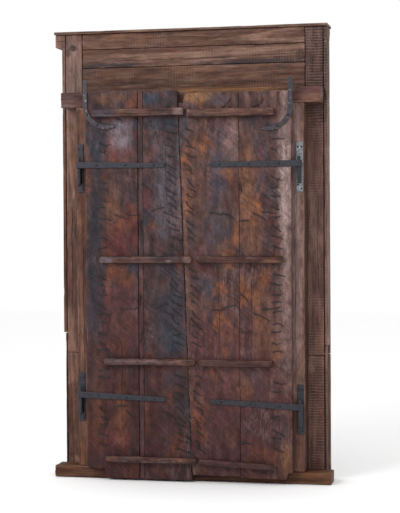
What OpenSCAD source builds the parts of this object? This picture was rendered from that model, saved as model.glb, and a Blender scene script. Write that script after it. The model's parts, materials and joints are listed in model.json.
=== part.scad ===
// Double-leaf plank door in its timber frame, with a boxed facade.
// +Z is up, the battened side of the leaves faces -Y, the facade faces +Y.
// The origin is the centre of the sill's underside. All sizes are millimetres.

/* [Frame timbers] */
// Length of the sill's horn past each jamb
sill_horn = 128; // [60:1:200]
// Height of the sill
sill_h = 62; // [50:1:90]
// Depth of the sill, the lintel and the jambs
timber_d = 120; // [90:1:160]
// Clear width between the jambs
opening_w = 1000; // [840:1:1200]
// Clear height between sill and lintel
opening_h = 1833; // [1500:1:2200]
// Width of each jamb
jamb_w = 88; // [70:1:120]
// Length of the lintel's horn past each jamb
lintel_horn = 83; // [40:1:160]
// Height of the lintel
lintel_h = 81; // [60:1:110]
// Depth of a jamb's tenon into the sill or the lintel
tenon_l = 38; // [20:1:45]
// Thickness of a jamb's tenon
tenon_t = 36; // [24:1:50]
// Width of a jamb's tenon
tenon_w = 56; // [40:1:64]
// Clearance round each tenon
tenon_gap = 0.4; // [0.2:0.1:1]

/* [Facade boxing] */
// Depth of the boxing behind its front boards
box_d = 85; // [60:1:140]
// Width of a boxing's back board
back_board_w = 90; // [60:1:140]
// Thickness of the back boards and the head boards
back_board_t = 22; // [16:1:32]
// Thickness of the side boards
side_board_t = 18; // [12:1:28]
// Thickness of the front boards
front_board_t = 25; // [18:1:35]
// Thickness of the reveal boards and the soffit
reveal_t = 15; // [12:1:24]
// Distance that a reveal board lies behind the jamb's inner edge
reveal_back = 60; // [40:1:68]
// Open joint between neighbouring boards
board_gap = 2; // [1:0.5:4]
// Height of the plinth's back and front boards
plinth_h = 632; // [500:1:760]
// Height of the left plinth side board
left_plinth_side_h = 735; // [600:1:800]
// Height of the right plinth side board
right_plinth_side_h = 680; // [600:1:800]
// Thickness of the thinner plinth side boards
plinth_side_t = 9; // [6:1:16]

/* [Head] */
// Height of the lower head board
lower_board_h = 148; // [120:1:180]
// Height of the middle head board
middle_board_h = 95; // [70:1:130]
// Height of the top head board
top_board_h = 81; // [60:1:110]
// Open joint between the head boards
head_gap = 0.5; // [0.2:0.1:0.9]
// Amount that the lower head board laps down behind the lintel
head_lap = 16; // [10:1:30]
// Height of the cornice and of its end blocks
cornice_h = 67; // [50:1:80]
// Amount that the cornice stands in front of the frieze
cornice_out = 22; // [12:1:40]
// Overhang of the cornice past the left side board
cornice_left = 35; // [20:1:60]
// Thickness of the cap board
cap_t = 15; // [10:1:24]
// Overhang of the cap past the cornice and the back boards
cap_out = 12; // [5:1:25]

/* [Leaves] */
// Thickness of the leaf planks
plank_t = 40; // [28:1:50]
// Running gap between the planks and the frame's face
leaf_gap = 1; // [0.5:0.5:3]
// Overlap of each leaf on its jamb
leaf_lap = 28; // [15:1:36]
// Gap between the two leaves
meeting_gap = 4; // [3:0.5:8]
// Place of the meeting line at the foot of the leaves
meeting_foot = 20; // [-20:1:40]
// Place of the meeting line at the head of the leaves
meeting_head = -46; // [-70:1:0]
// Overlap of the left leaf on the lintel
left_leaf_up = 76; // [50:1:80]
// Overlap of the right leaf on the lintel
right_leaf_up = 59; // [40:1:80]
// Height of the left leaf's foot above the floor
left_foot = 8; // [5:1:30]
// Height of the right leaf's inner plank above the floor
right_inner_foot = 35; // [15:1:45]
// Height of the right leaf's outer plank above the floor
right_outer_foot = 27; // [15:1:45]
// Outer edge of the left leaf's seam strip, from the hinge edge
left_seam = 274; // [220:1:330]
// Width of the left leaf's seam strip
seam_strip_w = 27; // [18:1:40]
// Amount that the seam strip lies below the planks
seam_sunk = 4; // [2:1:8]
// Width of the right leaf's outer plank
right_outer_w = 262; // [200:1:320]
// Broken corner at the left leaf's foot: width and height
left_worn_corner = [104, 48]; // [10:1:140]
// Broken corner at the right leaf's foot: width and height
right_worn_corner = [32, 35]; // [10:1:140]

/* [Front framing of the leaves] */
// Width of the stiles and rails
stile_w = 80; // [60:1:100]
// Thickness of the stiles and rails
stile_t = 26; // [18:1:32]
// Gap between the framing and the jambs, sill and lintel
framing_gap = 7; // [5:1:14]
// Setback of the meeting stiles from the meeting line
meeting_setback = 10; // [8:1:20]
// Heights of the rails above the leaf framing's foot
rail_z = [300, 800, 1290]; // [200:1:1500]

/* [Battens] */
// Height of each batten
batten_h = [46, 42, 43, 37]; // [30:1:60]
// Thickness of the battens
batten_t = 38; // [24:1:50]
// Outer end of the left leaf's battens, from the hinge edge
left_batten_x = [41, 75, 95, 102]; // [30:1:140]
// Amount that the left leaf's battens lap past the meeting line
batten_lap = [37, 48, 49, 37]; // [20:1:60]
// Gap between the ends of the left and the right leaf's battens
batten_end_gap = [13, 21, 20, 6]; // [5:1:30]
// Outer end of the right leaf's battens, from the hinge edge
right_batten_x = [79, 37, 90, 87]; // [30:1:140]
// Depth of the top battens' middle below their leaf's head: left, right
top_batten_down = [113, 106]; // [90:1:140]
// Height of the two middle battens above the floor
middle_batten_z = [1118, 603]; // [500:1:1250]
// Height of the lowest battens above the floor: left, right
low_batten_z = [110, 99]; // [90:1:140]
// Slope of the right leaf's lowest batten, in degrees
low_batten_slope = 2.5; // [0:0.5:4]
// Chamfer along the battens
batten_chamfer = 7; // [3:1:12]

/* [Hinges] */
// Distance from the leaf's edge to the hinge pin
pin_out = 37; // [30:1:46]
// Diameter of the hinge pins
pin_d = 16; // [12:1:20]
// Radial running clearance of the pins
pin_gap = 0.08; // [0.02:0.01:0.1]
// Wall of the eyes
eye_wall = 7; // [5:1:10]
// Height of the straps at the eye
strap_h = 33; // [24:1:40]
// Height of the straps at the tip
strap_tip_h = 24; // [16:1:30]
// Thickness of the straps
strap_t = 6; // [4:1:8]
// Length of the straps from pin to tip
strap_l = 450; // [360:1:500]
// Depth of the upper eyes' middle below the lintel: left, right
upper_hinge_down = [295, 303]; // [260:1:340]
// Height of the lower eyes' middle above the floor: left, right
lower_hinge_z = [432, 388]; // [340:1:480]
// Fall of the left leaf's straps towards the tip, in degrees
left_strap_fall = [1, 2.3]; // [-4:0.1:4]
// Fall of the right leaf's straps towards the tip, in degrees
right_strap_fall = [0, -2.6]; // [-4:0.1:4]
// Width of the pintle plates
plate_w = 35; // [28:1:42]
// Height of the pintle plates
plate_h = 248; // [200:1:280]
// Thickness of the pintle plates
plate_t = 4; // [3:1:6]
// Height of the plate below the eye's middle
plate_below = 139; // [110:1:150]
// Width of the standing bracket
bracket_w = 19; // [14:1:24]
// Height of the standing bracket
bracket_h = 80; // [50:1:100]
// Height that a pin stands above its eye
pin_up = 20; // [8:1:30]
// Diameter of the plates' screws
screw_d = 5; // [4:0.5:6]
// Diameter of the screw heads
screw_head_d = 10; // [8:0.5:12]
// Height of the screw heads
screw_head_h = 2; // [1:0.5:4]
// Length of the screws in the wood
screw_l = 32; // [20:1:45]

/* [Corner irons] */
// Width of the corner irons
iron_w = 25; // [18:1:32]
// Thickness of the corner irons
iron_t = 9; // [6:1:12]
// Radius of the bend's centre line
iron_r = 112; // [90:1:130]
// Length of the tapering tail
iron_tail = 46; // [30:1:80]
// Height of the irons' bend above the lintel's underside: left, right
iron_bend_up = [7, -17]; // [-30:1:20]
// Height that the irons stand above the bend: left, right
iron_up = [130, 142]; // [80:1:160]
// Distance of the irons' middle line outside the leaf's edge
iron_out = -2; // [-8:1:6]

/* [Nails] */
// Width of the clenched nails
nail_w = 5; // [3:0.5:6]
// Thickness of the bent legs
leg_t = 4; // [2:0.5:5]
// Width of the nail heads
nail_head_w = 14; // [10:1:18]
// Height of the nail heads
nail_head_h = 4; // [2:1:6]
// Spacing of the nails along the hanging stiles
hanging_pitch = 48; // [36:1:80]
// Spacing of the nails along the middle stiles
middle_pitch = 185; // [120:1:260]
// Spacing of the nails along the meeting stiles
meeting_pitch = 41; // [34:1:80]
// Distance that nails keep from battens and straps
nail_clear = 40; // [30:1:60]
// Seed of the nails' scatter
nail_seed = 7; // [1:1:99]
// Diameter of the strap nails' shanks
strap_nail_d = 5; // [4:0.5:6]
// Diameter of the strap nails' heads
strap_nail_head_d = 13; // [9:1:16]

/* [Hidden] */
$fn = 48;

// Colours
jamb_colour = [0.36, 0.21, 0.15];
board_colour = [0.40, 0.28, 0.22];
left_colour = [0.24, 0.17, 0.18];
right_colour = [0.36, 0.22, 0.17];
batten_colour = [0.40, 0.21, 0.16];
framing_colour = [0.30, 0.18, 0.14];
iron_colour = [0.14, 0.16, 0.19];

// Frame
frame_back_y = -timber_d / 2;
frame_front_y = timber_d / 2;
jamb_in = opening_w / 2;
jamb_out = jamb_in + jamb_w;
lintel_z = sill_h + opening_h;
lintel_top = lintel_z + lintel_h;
sill_end = jamb_out + sill_horn;
lintel_end = jamb_out + lintel_horn;

// Facade boxing
// The left boxing stands beside its jamb, and the right one beside its reveal board
function back_in(side) = board_gap + (side < 0 ? jamb_out : reveal_in + reveal_t);
function back_out(side) = back_in(side) + back_board_w;
function side_in(side) = back_out(side) + board_gap;
function box_out(side) = side_in(side) + side_board_t;
function plinth_out(side) = side_in(side) + plinth_side_t;
box_front_y = frame_front_y + box_d;
reveal_in = jamb_in + reveal_back;
plinth_front_extra = 5;

// Head
head_foot = lintel_top - head_lap;
middle_board_z = head_foot + lower_board_h + head_gap;
top_board_z = middle_board_z + middle_board_h + head_gap;
head_top = top_board_z + top_board_h;
cornice_z = head_top - cornice_h;
cornice_front_y = box_front_y + front_board_t + cornice_out;
cornice_left_x = -box_out(-1) - cornice_left;
cap_end_out = 4;

// Leaves
leaf_edge = jamb_in + leaf_lap;
plank_front_y = frame_back_y - leaf_gap;
plank_back_y = plank_front_y - plank_t;
left_top = lintel_z + left_leaf_up;
right_top = lintel_z + right_leaf_up;
framing_out = jamb_in - framing_gap;
framing_foot = sill_h + framing_gap;
framing_top = lintel_z - framing_gap;
rail_foots = concat([0], [for (z = rail_z) z - stile_w / 2], [framing_top - framing_foot - stile_w]);
left_middle = leaf_edge - left_seam - seam_strip_w / 2;
right_middle = leaf_edge - right_outer_w;

// Battens
left_batten_z = concat([left_top - top_batten_down[0]], middle_batten_z, [low_batten_z[0]]);
right_batten_z = concat([right_top - top_batten_down[1]], middle_batten_z, [low_batten_z[1]]);

// Hinges and corner irons
left_hinge_z = [lintel_z - upper_hinge_down[0], lower_hinge_z[0]];
right_hinge_z = [lintel_z - upper_hinge_down[1], lower_hinge_z[1]];
iron_bend_z = [lintel_z + iron_bend_up[0], lintel_z + iron_bend_up[1]];
eye_r = pin_d / 2 + pin_gap + eye_wall;
pin_x = leaf_edge + pin_out;
pin_y = plank_back_y - strap_t + eye_r;
eye_rest = 0.3;
screw_hole_gap = 0.3;
screw_edge = 26;
screw_slant = 9;
strap_nail_places = [0.22, 0.55, 0.88];
iron_nail_turns = [25, 65];
row_place = 0.3;
left_batten_nail_x = [175, 268];
right_batten_nail_x = [343, 183];
batten_nail_off = 7;

// Horizontal place of the line where the leaves meet, at a height
function meeting_x(z) = meeting_foot + (meeting_head - meeting_foot) * z / lintel_top;

// Edge of a leaf's planks at a height; side is -1 for the left leaf, 1 for the right
function plank_edge(side, z) = meeting_x(z) + side * meeting_gap / 2;

// Edge of a leaf's meeting stile at a height
function framing_edge(side, z) = plank_edge(side, z) + side * meeting_setback;

// Inner end of the left leaf's battens, which lap in front of the right leaf
function left_batten_end(i) = plank_edge(-1, left_batten_z[i]) + batten_lap[i];

// Smallest distance from a height to a list of heights, and far when the list is empty
function nearest(z, places) = min([for (p = concat([-lintel_top], places)) abs(z - p)]);

// Upright outline in X and Z, extruded from y towards -Y by t
module upright(y, t) {
    translate([0, y, 0]) rotate([90, 0, 0]) linear_extrude(t) children();
}

// Box given by its lowest corner and its highest corner
module block(low, high) {
    translate(low) cube(high - low);
}

// Box on one side of the doorway, from x1 to x2 measured outwards
module side_block(side, x1, x2, y1, y2, z1, z2) {
    left = side < 0 ? -x2 : x1;
    block([left, y1, z1], [left + x2 - x1, y2, z2]);
}

// ---- frame ----
module tenon_space(side, z1, z2, gap) {
    middle = jamb_in + jamb_w / 2;
    half = tenon_w / 2 + gap;
    side_block(side, middle - half, middle + half, -tenon_t / 2 - gap, tenon_t / 2 + gap, z1, z2);
}

module sill() {
    color(jamb_colour) difference() {
        block([-sill_end, frame_back_y, 0], [sill_end, frame_front_y, sill_h]);
        for (side = [-1, 1])
            tenon_space(side, sill_h - tenon_l - tenon_gap, sill_h + 1, tenon_gap);
    }
}

module lintel() {
    color(jamb_colour) difference() {
        block([-lintel_end, frame_back_y, lintel_z], [lintel_end, frame_front_y, lintel_top]);
        for (side = [-1, 1])
            tenon_space(side, lintel_z - 1, lintel_z + tenon_l + tenon_gap, tenon_gap);
    }
}

module jamb(side) {
    color(jamb_colour) union() {
        side_block(side, jamb_in, jamb_out, frame_back_y, frame_front_y, sill_h, lintel_z);
        tenon_space(side, sill_h - tenon_l, sill_h + 1, 0);
        tenon_space(side, lintel_z - 1, lintel_z + tenon_l, 0);
    }
}

module left_jamb() { jamb(-1); }
module right_jamb() { jamb(1); }

// ---- facade boxing ----
module back_board(side) {
    color(board_colour)
        side_block(side, back_in(side), back_out(side), frame_front_y, frame_front_y + back_board_t,
            plinth_h + board_gap, head_top);
}

module plinth_back_board(side) {
    color(board_colour)
        side_block(side, back_in(side), back_out(side), frame_front_y, frame_front_y + back_board_t,
            0, plinth_h);
}

module side_board(side, plinth_side_h) {
    color(board_colour)
        side_block(side, side_in(side), box_out(side), frame_front_y, box_front_y,
            plinth_side_h + board_gap, cornice_z);
}

module plinth_side_board(side, plinth_side_h) {
    color(board_colour)
        side_block(side, side_in(side), plinth_out(side), frame_front_y, box_front_y, 0, plinth_side_h);
}

module front_board(side) {
    color(board_colour)
        side_block(side, reveal_in, box_out(side), box_front_y, box_front_y + front_board_t,
            plinth_h + board_gap, cornice_z);
}

module plinth_front_board(side) {
    color(board_colour)
        side_block(side, reveal_in, box_out(side), box_front_y,
            box_front_y + front_board_t + plinth_front_extra, 0, plinth_h);
}

module reveal_board(side) {
    color(board_colour)
        side_block(side, reveal_in, reveal_in + reveal_t, frame_front_y, box_front_y, 0, lintel_z);
}

module left_back_board() { back_board(-1); }
module right_back_board() { back_board(1); }
module left_plinth_back_board() { plinth_back_board(-1); }
module right_plinth_back_board() { plinth_back_board(1); }
module left_side_board() { side_board(-1, left_plinth_side_h); }
module right_side_board() { side_board(1, right_plinth_side_h); }
module left_plinth_side_board() { plinth_side_board(-1, left_plinth_side_h); }
module right_plinth_side_board() { plinth_side_board(1, right_plinth_side_h); }
module left_front_board() { front_board(-1); }
module right_front_board() { front_board(1); }
module left_plinth_front_board() { plinth_front_board(-1); }
module right_plinth_front_board() { plinth_front_board(1); }
module left_reveal_board() { reveal_board(-1); }
module right_reveal_board() { reveal_board(1); }

// ---- head ----
module head_board(z, h) {
    color(board_colour)
        block([board_gap - back_in(-1), frame_front_y, z],
            [back_in(1) - board_gap, frame_front_y + back_board_t, z + h]);
}

module lower_head_board() { head_board(head_foot, lower_board_h); }
module middle_head_board() { head_board(middle_board_z, middle_board_h); }
module top_head_board() { head_board(top_board_z, top_board_h); }

module frieze_board() {
    color(board_colour)
        block([-reveal_in, box_front_y, lintel_z], [reveal_in, box_front_y + front_board_t, cornice_z]);
}

module soffit_board() {
    reach = reveal_in + reveal_t;
    color(board_colour)
        block([-reach, frame_front_y, lintel_z], [reach, box_front_y, lintel_z + reveal_t]);
}

// Beam with a splayed front, running the full width above the front boards
module cornice() {
    color(board_colour) translate([cornice_left_x, 0, 0]) rotate([90, 0, 90])
        linear_extrude(box_out(1) - cornice_left_x) polygon([
            [box_front_y, cornice_z], [box_front_y + front_board_t, cornice_z],
            [cornice_front_y, cornice_z + cornice_h * 0.6], [cornice_front_y, head_top],
            [box_front_y, head_top]]);
}

module left_cornice_block() {
    color(board_colour)
        block([cornice_left_x, frame_front_y, cornice_z],
            [-side_in(-1), box_front_y, head_top]);
}

module right_cornice_block() {
    color(board_colour)
        block([side_in(1), frame_front_y, cornice_z], [box_out(1), box_front_y, head_top]);
}

module cap_board() {
    color(board_colour)
        block([cornice_left_x - cap_end_out, frame_front_y - cap_out, head_top],
            [box_out(1) + cap_end_out, cornice_front_y + cap_out, head_top + cap_t]);
}

// ---- planks ----
module left_outer_plank() {
    right = -leaf_edge + left_seam;
    color(left_colour) upright(plank_front_y, plank_t) polygon([
        [-leaf_edge, left_foot + left_worn_corner[1]],
        [-leaf_edge + left_worn_corner[0] - 6, left_foot + left_worn_corner[1]],
        [-leaf_edge + left_worn_corner[0], left_foot],
        [right, left_foot], [right, left_top], [-leaf_edge, left_top]]);
}

module left_seam_strip() {
    left = -leaf_edge + left_seam;
    color(left_colour) upright(plank_front_y, plank_t - seam_sunk) polygon([
        [left, left_foot], [left + seam_strip_w, left_foot],
        [left + seam_strip_w, left_top], [left, left_top]]);
}

module left_inner_plank() {
    left = -leaf_edge + left_seam + seam_strip_w;
    color(left_colour) upright(plank_front_y, plank_t) polygon([
        [left, left_foot], [plank_edge(-1, left_foot), left_foot],
        [plank_edge(-1, left_top), left_top], [left, left_top]]);
}

module right_inner_plank() {
    right = leaf_edge - right_outer_w;
    color(right_colour) upright(plank_front_y, plank_t) polygon([
        [plank_edge(1, right_inner_foot), right_inner_foot], [right, right_inner_foot],
        [right, right_top], [plank_edge(1, right_top), right_top]]);
}

module right_outer_plank() {
    left = leaf_edge - right_outer_w;
    color(right_colour) upright(plank_front_y, plank_t) polygon([
        [left, right_outer_foot], [leaf_edge - right_worn_corner[0], right_outer_foot],
        [leaf_edge - right_worn_corner[0] + 4, right_outer_foot + right_worn_corner[1]],
        [leaf_edge, right_outer_foot + right_worn_corner[1]],
        [leaf_edge, right_top], [left, right_top]]);
}

// ---- battens ----
// Chamfered bar along X, centred on the height z
module batten(x, z, l, h) {
    c = batten_chamfer;
    color(batten_colour) translate([x, 0, z]) rotate([90, 0, 90]) linear_extrude(l) polygon([
        [plank_back_y, -h / 2], [plank_back_y, h / 2],
        [plank_back_y - batten_t + c, h / 2], [plank_back_y - batten_t, h / 2 - c],
        [plank_back_y - batten_t, -h / 2 + c], [plank_back_y - batten_t + c, -h / 2]]);
}

module left_batten(i) {
    start = -leaf_edge + left_batten_x[i];
    batten(start, left_batten_z[i], left_batten_end(i) - start, batten_h[i]);
}

module right_batten(i, slope) {
    start = left_batten_end(i) + batten_end_gap[i];
    l = leaf_edge - right_batten_x[i] - start;
    translate([start + l / 2, 0, right_batten_z[i]])
        rotate([0, slope, 0]) batten(-l / 2, 0, l, batten_h[i]);
}

module left_batten_1() { left_batten(0); }
module left_batten_2() { left_batten(1); }
module left_batten_3() { left_batten(2); }
module left_batten_4() { left_batten(3); }
module right_batten_1() { right_batten(0, 0); }
module right_batten_2() { right_batten(1, 0); }
module right_batten_3() { right_batten(2, 0); }
module right_batten_4() { right_batten(3, low_batten_slope); }

// ---- front framing ----
module framing() {
    upright(plank_front_y + stile_t, stile_t) children();
}

module front_stiles(side, middle) {
    color(framing_colour) framing() {
        polygon([
            [side * framing_out, framing_foot], [side * (framing_out - stile_w), framing_foot],
            [side * (framing_out - stile_w), framing_top], [side * framing_out, framing_top]]);
        polygon([
            [side * (middle + stile_w / 2), framing_foot], [side * (middle - stile_w / 2), framing_foot],
            [side * (middle - stile_w / 2), framing_top], [side * (middle + stile_w / 2), framing_top]]);
        polygon([
            [framing_edge(side, framing_foot) + side * stile_w, framing_foot],
            [framing_edge(side, framing_foot), framing_foot],
            [framing_edge(side, framing_top), framing_top],
            [framing_edge(side, framing_top) + side * stile_w, framing_top]]);
    }
}

// Two rails at each height, one in each bay between the stiles
module front_rails(side, middle) {
    color(framing_colour) framing() for (foot = rail_foots) {
        z1 = framing_foot + foot;
        z2 = z1 + stile_w;
        polygon([
            [side * (framing_out - stile_w), z1], [side * (middle + stile_w / 2), z1],
            [side * (middle + stile_w / 2), z2], [side * (framing_out - stile_w), z2]]);
        polygon([
            [side * (middle - stile_w / 2), z1], [framing_edge(side, z1) + side * stile_w, z1],
            [framing_edge(side, z2) + side * stile_w, z2], [side * (middle - stile_w / 2), z2]]);
    }
}

module left_front_stiles() { front_stiles(-1, left_middle); }
module right_front_stiles() { front_stiles(1, right_middle); }
module left_front_rails() { front_rails(-1, left_middle); }
module right_front_rails() { front_rails(1, right_middle); }

// ---- hinges ----
// Two screws side by side near the plate's head, and two on a slant near its foot
module screw_places(side, hinge_z) {
    foot = hinge_z - plate_below;
    for (turn = [-1, 1]) {
        x = side * pin_x + turn * plate_w / 4;
        translate([x, frame_back_y, foot + plate_h - screw_edge]) children();
        translate([x, frame_back_y, foot + screw_edge - turn * screw_slant]) children();
    }
}

module pintle(side, hinge_z) {
    foot = hinge_z - plate_below;
    shelf = hinge_z - strap_h / 2 - eye_rest;
    color(iron_colour) difference() {
        union() {
            side_block(side, pin_x - plate_w / 2, pin_x + plate_w / 2,
                frame_back_y - plate_t, frame_back_y, foot, foot + plate_h);
            side_block(side, pin_x - bracket_w / 2, pin_x + bracket_w / 2,
                pin_y, frame_back_y - plate_t + 1, shelf - bracket_h, shelf);
            translate([side * pin_x, pin_y, shelf - bracket_h])
                cylinder(d = bracket_w, h = bracket_h);
            translate([side * pin_x, pin_y, shelf - 1])
                cylinder(d = pin_d, h = strap_h + 2 * eye_rest + pin_up + 1);
        }
        screw_places(side, hinge_z) rotate([90, 0, 0])
            translate([0, 0, -1]) cylinder(d = screw_d + 2 * screw_hole_gap, h = plate_t + 2);
    }
}

module left_upper_pintle() { pintle(-1, left_hinge_z[0]); }
module left_lower_pintle() { pintle(-1, left_hinge_z[1]); }
module right_upper_pintle() { pintle(1, right_hinge_z[0]); }
module right_lower_pintle() { pintle(1, right_hinge_z[1]); }

module plate_screws() {
    color(iron_colour) for (side = [-1, 1], i = [0, 1])
        screw_places(side, side < 0 ? left_hinge_z[i] : right_hinge_z[i]) rotate([90, 0, 0]) union() {
            translate([0, 0, -screw_l]) cylinder(d = screw_d, h = screw_l + plate_t + 1);
            translate([0, 0, plate_t]) cylinder(d = screw_head_d, h = screw_head_h);
        }
}

// Strap with its eye round the pin; towards = 1 runs to +X, fall tips its tip down
module strap(side, hinge_z, fall) {
    towards = -side;
    color(iron_colour) translate([side * pin_x, pin_y, hinge_z]) difference() {
        union() {
            translate([0, 0, -strap_h / 2]) cylinder(r = eye_r, h = strap_h);
            rotate([0, towards * fall, 0]) difference() {
                translate([0, -eye_r + strap_t, 0]) rotate([90, 0, 0]) linear_extrude(strap_t) polygon([
                    [0, -strap_h / 2], [towards * (strap_l - 10), -strap_tip_h / 2],
                    [towards * strap_l, -strap_tip_h / 2 + 6], [towards * strap_l, strap_tip_h / 2 - 6],
                    [towards * (strap_l - 10), strap_tip_h / 2], [0, strap_h / 2]]);
                for (p = strap_nail_places)
                    translate([towards * p * strap_l, -eye_r + strap_t + 1, 0]) rotate([90, 0, 0])
                        cylinder(d = strap_nail_d + 2 * screw_hole_gap, h = strap_t + 2);
            }
        }
        translate([0, 0, -strap_h]) cylinder(r = pin_d / 2 + pin_gap, h = 2 * strap_h);
    }
}

module left_upper_strap() { strap(-1, left_hinge_z[0], left_strap_fall[0]); }
module left_lower_strap() { strap(-1, left_hinge_z[1], left_strap_fall[1]); }
module right_upper_strap() { strap(1, right_hinge_z[0], right_strap_fall[0]); }
module right_lower_strap() { strap(1, right_hinge_z[1], right_strap_fall[1]); }

// ---- corner irons ----
// Places its children along the iron's bend, at a turn in degrees from the upright stretch
module iron_place(side, i, turn) {
    x = side * (leaf_edge + iron_out - iron_r + iron_r * cos(turn));
    translate([x, plank_back_y, iron_bend_z[i] - iron_r * sin(turn)]) children();
}

// Upright bar that turns inwards in a quarter ring and ends in a tapering tail
module corner_iron(side, i) {
    x = leaf_edge + iron_out;
    mid = x - iron_r;
    bend = iron_bend_z[i];
    color(iron_colour) difference() {
        upright(plank_back_y, iron_t) scale([side, 1]) union() {
            polygon([
                [x - iron_w / 2, bend - 1], [x + iron_w / 2, bend - 1],
                [x + iron_w / 2, bend + iron_up[i]], [x - iron_w / 2, bend + iron_up[i]]]);
            translate([mid, bend]) intersection() {
                difference() {
                    circle(r = iron_r + iron_w / 2, $fn = 96);
                    circle(r = iron_r - iron_w / 2, $fn = 96);
                }
                translate([0, -2 * iron_r]) square(2 * iron_r);
            }
            polygon([
                [mid + 1, bend - iron_r - iron_w / 2], [mid + 1, bend - iron_r + iron_w / 2],
                [mid - iron_tail, bend - iron_r + 3], [mid - iron_tail, bend - iron_r - 3]]);
        }
        for (turn = iron_nail_turns)
            iron_place(side, i, turn) rotate([90, 0, 0]) translate([0, 0, -1])
                cylinder(d = strap_nail_d + 2 * screw_hole_gap, h = iron_t + 2);
    }
}

module left_corner_iron() { corner_iron(-1, 0); }
module right_corner_iron() { corner_iron(1, 1); }

// ---- nails ----
// Forged nail with its head on the framing and its leg bent over on the planks
module clenched_nail(x, z, angle, l) {
    w = nail_w;
    back = plank_back_y;
    front = plank_front_y + stile_t;
    translate([x, 0, z]) rotate([0, -angle, 0]) {
        translate([0, 0, -w / 2]) linear_extrude(w) polygon([
            [-w / 2, back - leg_t], [l * 0.7, back - leg_t], [l, back - 1],
            [l, back], [w / 2, back], [w / 2, front], [-w / 2, front]]);
        block([-nail_head_w / 2, front, -nail_head_w / 2], [nail_head_w / 2, front + nail_head_h, nail_head_w / 2]);
    }
}

// Nails along a line of x over z, with scattered places, angles and lengths
module nail_column(side, x_foot, x_head, pitch, angle, spread, l, seed, batten_z, strap_z) {
    count = floor((framing_top - framing_foot - stile_w) / pitch);
    shift = rands(-8, 8, count, nail_seed + seed);
    turn = rands(-spread, spread, count, nail_seed + seed + 1);
    grow = rands(0.75, 1.25, count, nail_seed + seed + 2);
    for (i = [0 : count - 1]) {
        z = framing_foot + stile_w / 2 + (i + 0.5) * pitch + shift[i];
        x = x_foot + (x_head - x_foot) * z / lintel_top + shift[count - 1 - i];
        drop = l * grow[i] * sin(angle + turn[i]);
        if (nearest(z, batten_z) > nail_clear && nearest(z + drop, batten_z) > nail_clear
            && nearest(z, strap_z) > nail_clear && nearest(z + drop, strap_z) > nail_clear)
            clenched_nail(x, z, angle + turn[i], l * grow[i]);
    }
}

// Long nails across the rails, two in each bay between the stiles
module nail_rows(side, middle, l, seed, strap_z) {
    turn = rands(-35, 20, 4 * len(rail_z), nail_seed + seed);
    grow = rands(0.8, 1.2, 4 * len(rail_z), nail_seed + seed + 1);
    for (r = [0 : len(rail_z) - 1], k = [0 : 3]) {
        z = framing_foot + rail_z[r];
        inner = framing_edge(side, z) + side * stile_w;
        bay_in = k < 2 ? side * inner : middle + stile_w / 2;
        bay_out = k < 2 ? middle - stile_w / 2 : framing_out - stile_w;
        x = bay_in + (bay_out - bay_in) * (k % 2 == 0 ? row_place : 1 - row_place);
        n = 4 * r + k;
        root = z + turn[n] / 2;
        tip = root + l * grow[n] * sin(turn[n]);
        if (nearest(root, strap_z) > nail_clear && nearest(tip, strap_z) > nail_clear)
            clenched_nail(side * x, root, turn[n], l * grow[n]);
    }
}

// Two slanting nails along the edge of a top batten
module batten_nails(places, z, angle, l) {
    for (x = places)
        clenched_nail(x, z, angle, l);
}

module left_clenched_nails() {
    straps = left_hinge_z;
    iron_z = [iron_bend_z[0] - iron_r];
    edge_foot = framing_edge(-1, 0) - stile_w * 0.75;
    edge_head = framing_edge(-1, lintel_top) - stile_w * 0.75;
    hang = -framing_out + stile_w * 0.4;
    color(iron_colour) {
        nail_column(-1, hang, hang, hanging_pitch, -14, 16, 50, 10, left_batten_z, concat(straps, iron_z));
        nail_column(-1, -left_middle, -left_middle, middle_pitch, -80, 60, 58, 20, left_batten_z, straps);
        nail_column(-1, edge_foot, edge_head, meeting_pitch, -28, 16, 64, 30, left_batten_z, []);
        nail_rows(-1, left_middle, 62, 70, straps);
        batten_nails([for (x = left_batten_nail_x) -leaf_edge + x],
            left_batten_z[0] - batten_h[0] / 2 - batten_nail_off, -45, 34);
    }
}

module right_clenched_nails() {
    straps = right_hinge_z;
    iron_z = [iron_bend_z[1] - iron_r];
    edge_foot = framing_edge(1, 0) + stile_w * 0.2;
    edge_head = framing_edge(1, lintel_top) + stile_w * 0.2;
    hang = framing_out - stile_w * 0.8;
    color(iron_colour) {
        nail_column(1, hang, hang, hanging_pitch, -8, 18, 54, 40, right_batten_z, concat(straps, iron_z));
        nail_column(1, right_middle, right_middle, middle_pitch, -50, 60, 50, 50, right_batten_z, straps);
        nail_column(1, edge_foot, edge_head, meeting_pitch, -38, 16, 52, 60, right_batten_z, []);
        nail_rows(1, right_middle, 78, 80, straps);
        batten_nails([for (x = right_batten_nail_x) leaf_edge - x],
            right_batten_z[0] + batten_h[0] / 2 + batten_nail_off, 40, 58);
    }
}

// Round-headed nail through a metal bar of thickness t into the planks
module bar_nail(t) {
    rotate([90, 0, 0]) union() {
        translate([0, 0, -screw_l]) cylinder(d = strap_nail_d, h = screw_l + t + 1);
        translate([0, 0, t]) cylinder(d = strap_nail_head_d, h = 3);
    }
}

module strap_nails(side, hinge_z, fall, i) {
    towards = -side;
    color(iron_colour) {
        for (k = [0, 1], p = strap_nail_places)
            translate([side * pin_x, plank_back_y, hinge_z[k]]) rotate([0, towards * fall[k], 0])
                translate([towards * p * strap_l, 0, 0]) bar_nail(strap_t);
        for (turn = iron_nail_turns)
            iron_place(side, i, turn) bar_nail(iron_t);
    }
}

module left_strap_nails() { strap_nails(-1, left_hinge_z, left_strap_fall, 0); }
module right_strap_nails() { strap_nails(1, right_hinge_z, right_strap_fall, 1); }

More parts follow.
